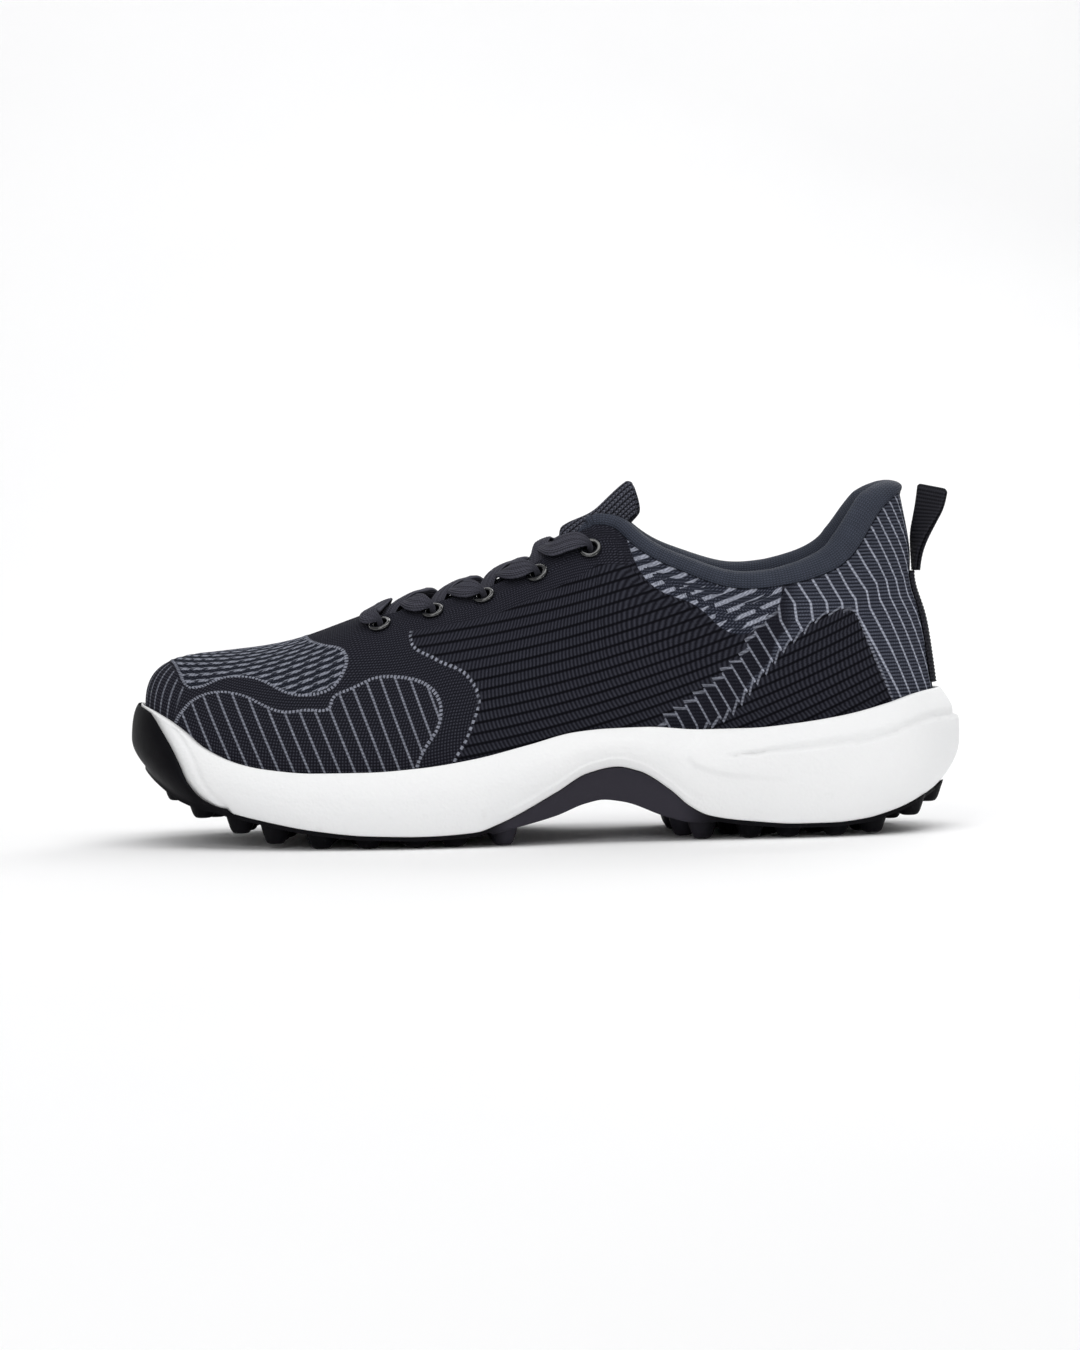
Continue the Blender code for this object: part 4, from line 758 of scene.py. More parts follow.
class Look:
    """A procedural material being put together."""

    def __init__(self, name):
        self.material = bpy.data.materials.new(name)
        self.material.use_nodes = True
        self.tree = self.material.node_tree
        self.shader = self.tree.nodes["Principled BSDF"]

    def node(self, kind):
        return self.tree.nodes.new(kind)

    def put(self, value, socket):
        if isinstance(value, Value):
            self.tree.links.new(value.socket, socket)
        elif isinstance(value, bpy.types.NodeSocket):
            self.tree.links.new(value, socket)
        else:
            socket.default_value = value

    def math(self, kind, *values):
        node = self.node("ShaderNodeMath")
        node.operation = kind
        for value, socket in zip(values, node.inputs):
            self.put(value, socket)
        return Value(self, node.outputs[0])

    def read(self, name):
        """A number kept on the mesh."""
        node = self.node("ShaderNodeAttribute")
        node.attribute_name = name
        return Value(self, node.outputs["Fac"])

    def vector(self, x, y, z=0.0):
        node = self.node("ShaderNodeCombineXYZ")
        for value, socket in zip((x, y, z), node.inputs):
            self.put(value, socket)
        return node.outputs[0]

    def place(self):
        """Object coordinates x, y and z in millimetres."""
        split = self.node("ShaderNodeSeparateXYZ")
        self.tree.links.new(self.node("ShaderNodeTexCoord").outputs["Object"], split.inputs[0])
        return [Value(self, out) * 1000 for out in split.outputs]

    def scattered(self, kind, size, at=None):
        """A noise node on the object's coordinates, or on at in millimetres."""
        node = self.node(kind)
        source = self.node("ShaderNodeTexCoord").outputs["Object"] if at is None else at
        self.tree.links.new(source, node.inputs["Vector"])
        node.inputs["Scale"].default_value = (1000 if at is None else 1) / size
        return node

    def noise(self, size, detail=3.0, at=None):
        """Soft noise from 0 to 1 with lumps of about size millimetres."""
        node = self.scattered("ShaderNodeTexNoise", size, at)
        node.inputs["Detail"].default_value = detail
        node.inputs["Roughness"].default_value = 0.55
        return Value(self, node.outputs["Fac"])

    def cells(self, size):
        """Distance to scattered cell centres about size millimetres apart, from 0 to about 1."""
        return Value(self, self.scattered("ShaderNodeTexVoronoi", size).outputs["Distance"])

    def blend(self, share, first, second):
        """first where share is 0, second where it is 1; both are colours."""
        node = self.node("ShaderNodeMix")
        node.data_type = "RGBA"
        self.put(share, node.inputs["Factor"])
        self.put(first, node.inputs[6])
        self.put(second, node.inputs[7])
        return node.outputs[2]

    def bump(self, height, strength=1.0):
        """height is in millimetres."""
        node = self.node("ShaderNodeBump")
        node.inputs["Strength"].default_value = strength
        node.inputs["Distance"].default_value = MM
        self.put(height, node.inputs["Height"])
        self.tree.links.new(node.outputs[0], self.shader.inputs["Normal"])

    def done(self, colour, roughness, **others):
        self.put(colour, self.shader.inputs["Base Color"])
        self.put(roughness, self.shader.inputs["Roughness"])
        for key, value in others.items():
            self.put(value, self.shader.inputs[key.replace("_", " ")])
        return self.material


def dress(piece, material, slot_name, body, *nodes):
    """Gives a piece its material and body and hides the CAD nodes that it stands for; its slot name is not
    used.
    """
    piece.data.materials.clear()
    piece.data.materials.append(material)
    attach(piece, body)
    if nodes:
        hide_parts(*nodes)
    return piece


# ---- the upper's knitted zones
# Outlines on either side of the shoe, as x in millimetres and t of the girth.
GIRTH = 88.0  # millimetres that t = 1 stands for when distances are measured
TOE_MESH = [
    (-150, 1.25), (-134, 0.69), (-131, 0.56), (-127, 0.47), (-122, 0.5), (-114, 0.58), (-104, 0.58),
    (-92.5, 0.485), (-83, 0.45), (-74, 0.48), (-71, 0.54), (-70, 0.58), (-72, 0.67), (-78, 0.73),
    (-84, 0.83), (-86, 1.0), (-86, 1.25),
]  # fmt: skip
SIDE_MESH = [
    (-134, -0.2), (-134, 0.1), (-133, 0.205), (-129, 0.33), (-126, 0.39), (-115, 0.48), (-106, 0.46),
    (-99, 0.41), (-92, 0.38), (-83, 0.38), (-76, 0.38), (-75, 0.42), (-69, 0.45), (-61, 0.48),
    (-50, 0.46), (-42, 0.41), (-37, 0.33), (-36.4, 0.285), (-38, 0.22), (-41, 0.18), (-44.5, 0.12),
    (-47, 0.0), (-48, -0.2),
]  # fmt: skip
VAMP_LINE = [
    (-32, 0.0), (-32, 0.09), (-28.5, 0.145), (-25, 0.22), (-23, 0.28), (-23.6, 0.32), (-26, 0.38),
    (-31, 0.44), (-36, 0.48), (-40, 0.52), (-45, 0.57), (-47, 0.62), (-47, 0.67),
]  # fmt: skip
VAMP_TOP = [
    (-47, 0.67), (-29, 0.65), (-14, 0.625), (1, 0.61), (15, 0.6), (24, 0.66), (30, 0.77), (33, 0.89),
    (33, 1.3),
]  # fmt: skip
DASHES = [
    (33, 1.3), (33.5, 0.89), (37, 0.83), (47, 0.82), (53, 0.83), (59, 0.79), (63, 0.74), (71, 0.72),
    (77, 0.78), (84, 0.9), (85, 1.0), (85, 1.3),
]  # fmt: skip
BAND_LEFT = [
    (40, -0.2), (41, 0.02), (42, 0.1), (47, 0.15), (51, 0.19), (56, 0.27), (61, 0.345), (65, 0.455),
    (70, 0.55), (73, 0.68), (77, 0.78), (80, 0.82), (84, 0.9), (86, 1.3),
]  # fmt: skip
PATCH = [
    (52, -0.2), (55, 0.02), (57, 0.096), (61, 0.13), (66, 0.19), (70, 0.27), (75, 0.39), (81, 0.52),
    (87.5, 0.65), (91, 0.69), (94, 0.735), (101, 0.78), (109, 0.75), (113, 0.65), (119, 0.395),
    (125, 0.18), (130, -0.2),
]  # fmt: skip


def flattened(corners):
    """The corners in millimetres along the shoe and up the girth."""
    return [(cx, ct * GIRTH) for cx, ct in corners]


def zone(x, t, corners, closed=True):
    """Distance to a zone's rounded outline, and the way along it."""
    return edge_distance(x, t * GIRTH, smooth_line(flattened(corners), 5), closed)


def knit_values(points, w, t):
    """Distances to the zones' edges and the phases of their stripes, for every vertex of the upper."""
    x, z = points[..., 0] / MM, points[..., 2] / MM
    values = {}
    values["toe"], values["toe_way"] = zone(x, t, TOE_MESH)
    values["side"], values["side_way"] = zone(x, t, SIDE_MESH)
    values["vamp"], values["vamp_way"] = zone(x, t, VAMP_LINE, False)
    quarter = VAMP_LINE + VAMP_TOP[1:] + [(200, 1.3), (200, -0.2), (-32, -0.2)]
    values["quarter"], _ = edge_distance(x, t * GIRTH, flattened(quarter))
    values["dash"], _ = zone(x, t, DASHES)
    heel = smooth_line(flattened(BAND_LEFT), 5).tolist()
    values["heel"], _ = edge_distance(x, t * GIRTH, heel + [(300, 114), (300, -18)])
    values["patch"], _ = zone(x, t, PATCH)
    values["rib"] = (z - (0.225 * x + 0.0011 * x * x)) / 3.7
    lean = np.interp(x, [-120, -90, -60], [0.43, 0.4, 0.36])
    values["stripe"] = (x + lean * z) / 5.2
    values["toe_row"] = (z[:, :1] + walked(points, 1) - 0.2 * x - 0.0025 * (x + 128) ** 2) / 3.1
    arc = np.interp(along(w), SIDE, walked(outline(SIDE)[0]))
    level = z - np.interp(arc, [296, 314], [0, 7])
    drop = np.interp(level, [40, 55, 77, 83, 95, 125], [17, 10, 0.3, 0, -7.5, -26])
    reach = np.arange(0, 420, 2.0)
    pitch = np.interp(reach, [200, 240, 270, 285, 340], [4.8, 4.9, 5.8, 6.5, 6.8])
    count = np.append(0, np.cumsum(2.0 / pitch))[:-1]
    values["slant"] = np.interp(arc - drop, reach, count) - np.interp(291.7, reach, count)
    values["tip"] = (arc + 10 * t * t) / 4.7
    return values


def knit_relief(v):
    """Height of the ribs and stitches over the skin, in millimetres."""
    quarter = ease(-v["quarter"], -0.4, 0.8)
    heel = ease(-v["heel"], -0.6, 0.6)
    patch = ease(-v["patch"], -0.5, 0.7)
    dash = ease(-v["dash"], -0.5, 0.7)
    side = ease(-v["side"], -0.3, 1.0)
    toe = ease(-v["toe"], -0.3, 1.0)
    ribbed = quarter * (1 - heel) * (1 - dash) + patch
    rib, slant, stripe, row = (wave(v[key]) for key in ("rib", "slant", "stripe", "toe_row"))
    height = 0.42 * ribbed * np.sqrt(rib)
    height += 0.4 * heel * (1 - patch) * slant**1.5
    height += 0.3 * dash * rib
    height += 0.28 * side * stripe**2
    height += 0.22 * toe * row
    height += 0.3 * bell(v["toe"], 0.9) + 0.3 * bell(v["side"], 0.9)
    height += 0.25 * bell(v["vamp"], 0.8)
    height -= 0.35 * bell(v["heel"], 0.9) + 0.3 * bell(v["patch"], 0.8)
    return height


INNER_ROWS = 12
KNIT_SINK = 0.2  # millimetres that the ground lies under the skin, for the relief to stand on
PRESSED_IN, PRESSED_W = 0.35, (0.012, 0.021)  # more under the heel strip, fading over w from the back line
HOLE_DIP, HOLE_DIP_R = 1.5 * MM, (2.0 * MM, 3.0 * MM)  # the knit turns down into each eyelet
RING_DIP, RING_DIP_R = 0.25 * MM, (4.6 * MM, 1.3 * MM)  # and lies pressed round its flange


def knit_upper():
    """The lasted knit: relief outside, plain inside, open at the throat and the collar."""
    w, t = np.meshgrid(LOOP, np.linspace(0, 1, ROWS), indexing="ij")
    t = t * top_share(LOOP)[:, None]
    point, normal, _ = skin_frame(w, t)
    values = knit_values(point, w, t)
    fade = ease(t, 0.0, 0.06) * ease(top_share(w) - t, 0.0, 0.02)
    clear = ease(np.abs(w - 1), *PRESSED_W)
    height = knit_relief(values) * clear - KNIT_SINK - PRESSED_IN * (1 - clear)
    outer = point + normal * (height * fade * MM)[..., None]
    for k in range(len(EYELET_X)):
        for side in (1, -1):
            centre, out, _ = skin_frame(*eyelet_place(k, side))
            gap = np.linalg.norm(outer - centre, axis=-1)
            outer = outer - out * (HOLE_DIP * ease(-gap, -HOLE_DIP_R[1], -HOLE_DIP_R[0]))[..., None]
            ring = bell(gap - RING_DIP_R[0], RING_DIP_R[1])
            outer = outer - out * (RING_DIP * ring)[..., None]
    inner_w, inner_t = np.meshgrid(LOOP, np.linspace(1, 0, INNER_ROWS), indexing="ij")
    inner = under_skin(inner_w, inner_t * top_share(LOOP)[:, None], KNIT)
    edge = (outer[:, -1] + inner[:, 0]) / 2 + skin_frame(LOOP, top_share(LOOP))[2] * 0.5 * MM
    rings = np.concatenate([outer, edge[:, None], inner], 1)
    n, sides = rings.shape[:2]
    closed = np.isin(np.arange(n), np.flatnonzero((along(LOOP) < THROAT_START + 1e-6)))
    for i in np.flatnonzero(closed[: n // 2]):
        for k in (ROWS - 1, ROWS + 1):
            rings[i, k] = rings[-i % n, k] = (rings[i, k] + rings[-i % n, k]) / 2
    index = np.arange(n * sides).reshape(n, sides)
    for i in np.flatnonzero(closed[: n // 2]):
        for k in (ROWS - 1, ROWS + 1):
            index[-i % n, k] = index[i, k]
    faces = []
    for i in range(n):
        j = (i + 1) % n
        for k in range(sides):
            m = (k + 1) % sides
            if closed[i] and closed[j] and k in (ROWS - 1, ROWS):
                continue
            quad = [index[i, k], index[j, k], index[j, m], index[i, m]]
            quad = [v for at, v in enumerate(quad) if v not in quad[:at]]
            if len(quad) > 2:
                faces.append(quad)
    arc = np.abs(walked(rings[:, :ROWS]))
    arc = np.minimum(arc, arc[-1:] - arc + arc[:1])
    climb = walked(rings[:, :ROWS], 1)
    values["arc"], values["climb"] = arc, climb
    values["inside"] = np.zeros((n, ROWS))
    full = {}
    for key, value in values.items():
        spread = np.zeros((n, sides))
        spread[:, :ROWS] = value
        spread[:, ROWS] = value[:, -1]
        spread[:, ROWS + 1 :] = value[:, -1:] if key != "inside" else 1.0
        full[key] = spread
    return shape("knit_upper", rings.reshape(-1, 3), faces, full)


# ---- collar, tongue and linings
COLLAR_LEAD = 0.58  # u at which the roll's front ends taper out on the facing's edge
LEAD_SHARE = 0.12  # of the roll's size left there
LEAD_DEPTH = 0.1  # of its reach down inside the shoe
ROLL_POINTS, ROLL_CROWDING = 44, 0.92
KNIT_SIDE = (-19, -13, -7, -2, -0.4)  # drops of the points down the roll's back, against the knit


def collar():
    """The padded roll round the opening: its jersey from the outside seam over the top and down inside."""
    u = np.concatenate([np.linspace(COLLAR_LEAD, COLLAR_START, 16)[:-1], np.linspace(COLLAR_START, 1, 190)])
    w = np.concatenate([u, 2 - u[-2::-1]])
    line = collar_profile(w, LINING / 2)
    shallow = LEAD_DEPTH + (1 - LEAD_DEPTH) * ease(along(w), COLLAR_LEAD, 0.63)[:, None]
    line[..., 1] = np.where(line[..., 1] < 0, line[..., 1] * shallow, line[..., 1])
    lead = LEAD_SHARE + (1 - LEAD_SHARE) * ease(along(w), COLLAR_LEAD, COLLAR_START)[:, None]
    line[..., 0] = KNIT + GAP + (line[..., 0] - KNIT - GAP) * lead
    line[..., 1] = line[..., 1] * lead
    places = np.linspace(0, 1, ROLL_POINTS) ** ROLL_CROWDING
    outside = np.array([open_spline(row)[0](places) for row in line])
    knit_side = [(KNIT + GAP, drop * MM) for drop in KNIT_SIDE] + [(0.9 * MM, 0.15 * MM)]
    closing = np.broadcast_to(np.array(knit_side), (len(w), len(knit_side), 2)).copy()
    closing[..., 1] = np.where(closing[..., 1] < 0, closing[..., 1] * shallow, closing[..., 1])
    loop = np.concatenate([outside, closing], 1)
    rings = collar_point(spread_across(w, loop.shape[1]), loop[..., 0], loop[..., 1])
    return cloth_shape("collar", rings, 20)


PUFF = 3.2 * MM  # how far the tongue swells up between the laces
PUFF_STEP = 0.35 * MM
LACE_CLEAR_BESIDE, LACE_CLEAR_BELOW = 3.6 * MM, 1.2 * MM  # room that it leaves round the lace's middle
TONGUE_THIN = 1.9 * MM  # how far each face draws in at the tongue's edge
TIP_PAD = 1.8 * MM  # extra fullness of the tongue's tip on its inner side


def tongue():
    """The padded tongue: mesh outside, foam and lining, closed round its edge."""
    u = np.concatenate([np.linspace(TONGUE_REACH[0], 0.63, 110), np.linspace(0.63, TONGUE_REACH[1], 30)[1:]])
    across = np.linspace(-1, 1, 65)
    point, normal, rise = tongue_grid(u, across)
    soften(rise.T, 3)
    tip = np.sqrt(np.clip((TONGUE_REACH[1] - u) / 0.006, 0.02, 1))
    full = (1 - np.abs(across) ** 8)[None] * (ease(u, TONGUE_REACH[0], 0.33) * tip)[:, None]
    thick = TONGUE_MESH + TONGUE_FOAM + LINING + 2 * TONGUE_GAP
    near = TONGUE_DEPTH - rise + 0.1 * MM + (1 - full) * TONGUE_THIN
    strand = lace_line(2 * LACE_STEP)[0]
    out = lace_faces(strand)[1]
    fall = ease(u, 0.33, 0.35)[:, None] * (1 - ease(point[..., 0], 8 * MM, 19 * MM))
    swell = PUFF * bell(across, 0.3)[None] * fall
    for _ in range(10):
        outer = point - normal * (near - swell)[..., None]
        away = outer[:, :, None] - strand[None, None]
        rise_over = np.sum(away * out, -1)
        beside = np.sqrt(np.maximum(np.sum(away * away, -1) - rise_over**2, 0))
        touching = np.any((beside < LACE_CLEAR_BESIDE) & (rise_over > -LACE_CLEAR_BELOW), -1)
        swell = np.where(touching, np.maximum(swell - PUFF_STEP, 0), swell)
    soften(swell, 2)
    near = near - swell
    far = TONGUE_DEPTH - rise + thick - (1 - full) * TONGUE_THIN
    far = far + ease(u, 0.56, 0.62)[:, None] * full * TIP_PAD
    outer = point - normal * near[..., None]
    inner = point - normal * far[..., None]
    rings = np.concatenate([outer, inner[:, ::-1]], 1)
    values = {"around": walked(rings, 1), "over": spread_across(walked(rings[:, 32]), rings.shape[1])}
    return rings_shape("tongue", rings, values)


def quarter_lining():
    """A thin lining that follows the skin inside the heel counter."""
    w, t = np.meshgrid(np.linspace(0.63, 1.37, 150), np.linspace(0.11, 0.62, 40), indexing="ij")
    depth = KNIT + 2 * GAP + COUNTER
    rings = np.concatenate([under_skin(w, t, depth), under_skin(w, t, depth + LINING)[:, ::-1]], 1)
    return cloth_shape("quarter_lining_cloth", rings, 0)


def sockliner():
    """The removable foam insole: a cloth-covered pad with a rounded edge."""
    w = LOOP
    lean = np.clip(-SKIN_TABLE(w)[:, 5] * MM, 0, None) * 0.35
    inset = SKIN_TABLE(w)[:, 3] * MM + SOCKLINER_INSET + lean
    low, high = BOARD + GAP, BOARD + GAP + SOCKLINER
    profile = [(0, low), (-0.1, low + 1.2 * MM), (0, high - 1.2 * MM), (0.5, high - 0.35 * MM), (1.4, high)]
    rings = []
    for inward, height in profile:
        flat, _ = outline(w, inset + inward * MM)
        rings.append(np.column_stack([flat, FOOTBED(flat[:, 0]) + height]))
    edge = rings[4][:, :2]
    middle = (edge + edge[-np.arange(len(w)) % len(w)]) / 2
    for share in (0.25, 0.5, 0.75, 0.96):
        flat = edge * (1 - share) + middle * share
        rings.append(np.column_stack([flat, FOOTBED(flat[:, 0]) + high]))
    return loft("sockliner_pad", rings)


def loft(name, rings):
    """A closed solid from rings round w, its first and last ring bridged straight across."""
    rings = [np.asarray(r) for r in rings]
    count, half = len(rings[0]), len(rings[0]) // 2
    points = np.concatenate(rings)
    k, i = np.meshgrid(np.arange(len(rings) - 1), np.arange(count), indexing="ij")
    j = (i + 1) % count
    faces = np.stack([k * count + i, k * count + j, (k + 1) * count + j, (k + 1) * count + i], -1)
    faces = faces.reshape(-1, 4).tolist()
    for start in (0, (len(rings) - 1) * count):
        for i in range(1, half - 1):
            faces.append([start + i, start + i + 1, start + count - i - 1, start + count - i])
        faces.append([start, start + 1, start + count - 1])
        faces.append([start + half - 1, start + half, start + half + 1])
    return shape(name, points, faces)


# ---- midsole and outsole
LEDGE_LOW = steady(
    [(58, 29.1), (60, 29.3), (90, 31.4), (107.6, 33.1), (125.4, 36.6), (140, 40.4), (151, 40.2)]
)
LEDGE_HIGH = steady(
    [(58, 29.3), (60, 29.6), (90, 34.2), (107.7, 36.3), (125.4, 39.8), (140, 43.6), (151, 43.4)]
)
POD_NOSE = [
    (90, 37.5), (62, 38.6), (53.6, 36.1), (50, 31.3), (50.6, 28.1), (54.4, 25.5), (72.4, 21.6),
    (90, 20.2), (110, 19), (110, 37.5),
]  # fmt: skip
BUMPER_EDGE = [
    (-141, 46.8), (-136.7, 41.5), (-132.5, 35.7), (-129.3, 30), (-126.5, 23.5), (-122, 17.6), (-118, 14.4),
]  # fmt: skip


def foam_relief(x, z, u):
    """How far the foam stands out from its plain sweep, in millimetres."""
    low, high = LEDGE_LOW(x * MM) / MM, LEDGE_HIGH(x * MM) / MM
    above = np.clip((z - low) / np.maximum(high - low, 0.5), 0, 1)
    bulge = 0.8 * np.exp(-np.clip(low - z, 0, None) / 5) * (z <= low)
    notch = -1.25 * (1 - above) * (z > low) * (above < 1)
    height = ease(x, 60, 72) * (bulge + notch)
    nose, _ = edge_distance(x, z, smooth_line(POD_NOSE[:8], 6).tolist() + POD_NOSE[8:])
    height += 0.9 * ease(-nose, -0.3, 1.6) * ease(-x, -96, -62)
    edge = SOLE_EDGE(x * MM) / MM
    arch = ease(x, -20, -8) * ease(-x, -56, -48)
    height += 0.55 * arch * ease(edge + 3.4 - z, -0.5, 0.5)
    crease, _ = edge_distance(x, z, smooth_line([(cx + 4.2, cz + 1.2) for cx, cz in BUMPER_EDGE], 5), False)
    height -= 0.45 * bell(crease, 0.8) * (x < -108)
    return height * ease(u, 0.0, 0.02)


def foam_wall(w):
    """Rings of the midsole's outer wall, with its relief."""
    normal = np.column_stack([outline(w)[1], np.zeros(len(w))])
    rings = []
    for s in np.linspace(0, 1, 46):
        ring = wall(w, np.full_like(w, s))
        height = foam_relief(ring[:, 0] / MM, ring[:, 2] / MM, along(w))
        height = height * ease(s, 0.0, 0.02) * ease(-s, -1.0, -0.97)
        rings.append(ring + normal * (height * MM)[:, None])
    return rings


def midsole():
    """The white foam: outer wall, rim and the hollow that holds the upper."""
    w = LOOP
    foot_inset = SKIN_TABLE(w)[:, 3] * MM
    rim_line = wall(w, np.ones_like(w))
    lip = share_at_height(w, rim_line[:, 2] - 0.6 * MM)
    inner_rim = under_skin(w, lip, -GAP)
    inner_foot = outline(w, foot_inset - GAP)[0]
    inner_foot = np.column_stack([inner_foot, FOOTBED(inner_foot[:, 0]) - GAP])
    under = outline(w, DRAW_IN(w)[:, 0] * MM + 1.5 * MM)[0]
    rings = [np.column_stack([under, SOLE_EDGE(under[:, 0])])]
    rings += foam_wall(w)
    rounded = rings[-1] * 0.6 + inner_rim * 0.4
    rounded[:, 2] += 0.15 * MM
    rings += [rounded, inner_rim, under_skin(w, lip * 0.6, -GAP), under_skin(w, lip * 0.25, -GAP), inner_foot]
    return loft("foam_midsole", rings)


def outsole():
    """The black rubber sheet with its arch bridge, toe bumper and studs."""
    w = LOOP
    top = bumper_share(w)
    present = top > 0
    thick = BUMPER * np.clip(top / 0.3, 0, 1)
    inner_gap = np.where(present, BUMPER_GAP * np.clip(top / 0.12, 0, 1), 0)
    foot = DRAW_IN(w)[:, 0] * MM
    shelf_height = SOLE_EDGE(outline(w, foot)[0][:, 0]) - GAP
    under = outline(w, foot + 1.2 * MM - thick)[0]
    edge = outline(w, foot - inner_gap - thick)[0]
    bottom = sole_bottom(outline(w, foot)[0][:, 0])
    rings = [np.column_stack([under, sole_bottom(under[:, 0])])]
    rings.append(np.column_stack([outline(w, foot + 0.35 * MM - thick)[0], bottom + 0.1 * MM]))
    for share in (0.12, 0.35, 0.6, 0.85):
        rings.append(np.column_stack([edge, bottom + (shelf_height - bottom) * share]))
    rings.append(np.column_stack([edge, shelf_height]))
    outer = [(s, 1 - 0.45 * s - 0.55 * s**9) for s in np.linspace(0.04, 1, 26)]
    for s, fullness in outer + [(s, 0) for s in (0.98, 0.8, 0.5, 0.2)]:
        ring = wall(w, s * top, inner_gap + thick * fullness)
        ring[:, 2] -= np.where(present, 0, GAP)
        rings.append(ring)
    rings.append(np.column_stack([outline(w, foot - inner_gap)[0], shelf_height]))
    return join_meshes("rubber_outsole", loft("rubber", rings), dense_studs())


def dense_studs():
    """Moulded studs with rounded shoulders, a shallow neck and a dished tip."""
    sides = 22
    profile = [(1.06, -0.1), (1.0, 0.04), (0.91, 0.2), (0.83, 0.4), (0.76, 0.56), (0.69, 0.72), (0.6, 0.86)]
    profile += [(0.5, 0.955), (0.38, 0.992), (0.24, 1.0), (0.1, 0.995)]
    turn = full_turn(sides)
    points, faces = [], []
    for x, y in stud_centres():
        start = len(points)
        for radius, drop in profile:
            px, py = x + radius * STUD_BASE_R * np.cos(turn), y + radius * STUD_BASE_R * np.sin(turn)
            root = sole_bottom(px) + 0.7 * MM
            points += np.column_stack([px, py, root + (float(STUD_TIP(x)) - root) * drop]).tolist()
        faces += (np.array(ring_faces(len(profile), sides)[:-2]) + start).tolist()
        faces.append([start + i for i in range(sides)])
        faces.append([start + (len(profile) - 1) * sides + i for i in range(sides)])
    return shape("studs", points, faces)


def join_meshes(name, *pieces):
    """One mesh object from several closed ones."""
    work = bmesh.new()
    for piece in pieces:
        work.from_mesh(piece.data)
    mesh = bpy.data.meshes.new(name)
    work.to_mesh(mesh)
    work.free()
    mesh.shade_smooth()
    mesh.set_sharp_from_angle(angle=math.radians(50))
    for piece in pieces:
        bpy.data.objects.remove(piece)
    return placed(name, mesh)


# ---- lace, eyelets and webbing
def swept(name, centre, across, half_width, half_thickness, sides, ribs):
    """An oval cord with fine lengthwise ribs along centre."""
    ahead = unit(np.gradient(centre, axis=0))
    across = unit(across - np.sum(across * ahead, 1, keepdims=True) * ahead)
    over = np.cross(ahead, across)
    turn = full_turn(sides)
    flat_x = np.sign(np.cos(turn)) * np.abs(np.cos(turn)) ** 0.9
    flat_y = np.sign(np.sin(turn)) * np.abs(np.sin(turn)) ** 0.75
    rib = 1 + ribs * np.cos(flat_x * LACE_RIBS * math.pi)
    half_width = np.broadcast_to(half_width, len(centre))[:, None, None]
    half_thickness = np.broadcast_to(half_thickness, len(centre))[:, None, None]
    rings = centre[:, None] + across[:, None] * flat_x[None, :, None] * half_width
    rings = rings + over[:, None] * (flat_y * rib)[None, :, None] * half_thickness
    span = np.repeat((flat_x * LACE_RIBS / 2)[None], len(centre), 0)
    facts = {"way": spread_across(walked(centre), sides), "span": span}
    return rings_shape(name, rings, facts)


LACE_SWELL = 0.75 * MM  # extra half-width and half-thickness beside each eyelet
LACE_RIBS = 7  # lengthwise ribs over the cord's width


def lace_line(step):
    """The lace's middle line with its half-widths, half-thicknesses and how freely it swells."""
    route = lace_route()
    table = []
    for i, (point, size) in enumerate(route):
        beside_eyelet = any(near[0] == LACE_BROAD for _, near in route[max(i - 1, 0) : i + 2])
        table.append([*point, *size, beside_eyelet and size[0] > LACE_CORE_R])
    spline, length = open_spline(table)
    row = spline(np.linspace(0, 1, int(length / step)))
    widths = np.clip(row[:, 3], LACE_CORE_R, LACE_HALF_WIDTH)
    depths = np.clip(row[:, 4], LACE_HALF_THICKNESS, LACE_CORE_R)
    return row[:, :3], widths, depths, np.clip(row[:, 5], 0, 1)


def lace_faces(centre):
    """Directions across the lace and out of its upper face."""
    across = lace_across(centre)
    soften(across, 6)
    out = np.cross(np.gradient(centre, axis=0), across)
    out *= np.sign(out[:, 2:]) / np.linalg.norm(out, axis=1, keepdims=True)
    return across, out


def lace():
    """The whole lace as one swept cord, plumper beside the eyelets."""
    centre, widths, depths, free = lace_line(LACE_STEP)
    across, out = lace_faces(centre)
    swell = free * LACE_SWELL
    centre = centre + out * swell[:, None]
    return swept("lace_webbing", centre, across, widths + swell, depths + swell, 56, 0.1)


def aglets():
    """Clear-coated plastic tips, crimped round the lace's two ends."""
    centre = lace_line(LACE_STEP)[0]
    across = lace_across(centre)
    made = []
    for label, at, step in (("lateral", -1, 1), ("medial", 0, -1)):
        end, before = centre[at], centre[at - step]
        ahead = unit(end - before)
        distance = np.array([0, 0.15, 0.5, 1, 2, 4, 6, 8, 9, 9.6, 9.9, 10])
        size = np.interp(distance, [0, 0.5, 9, 9.6, 10], [0.8, 1, 1, 0.9, 0.5])
        line = end + ahead * (GAP + distance * MM)[:, None]
        flat = np.tile(across[at], (len(distance), 1))
        made.append(swept(f"aglet_tip_{label}", line, flat, 1.5 * MM * size, 1.1 * MM * size, 24, 0))
    return made


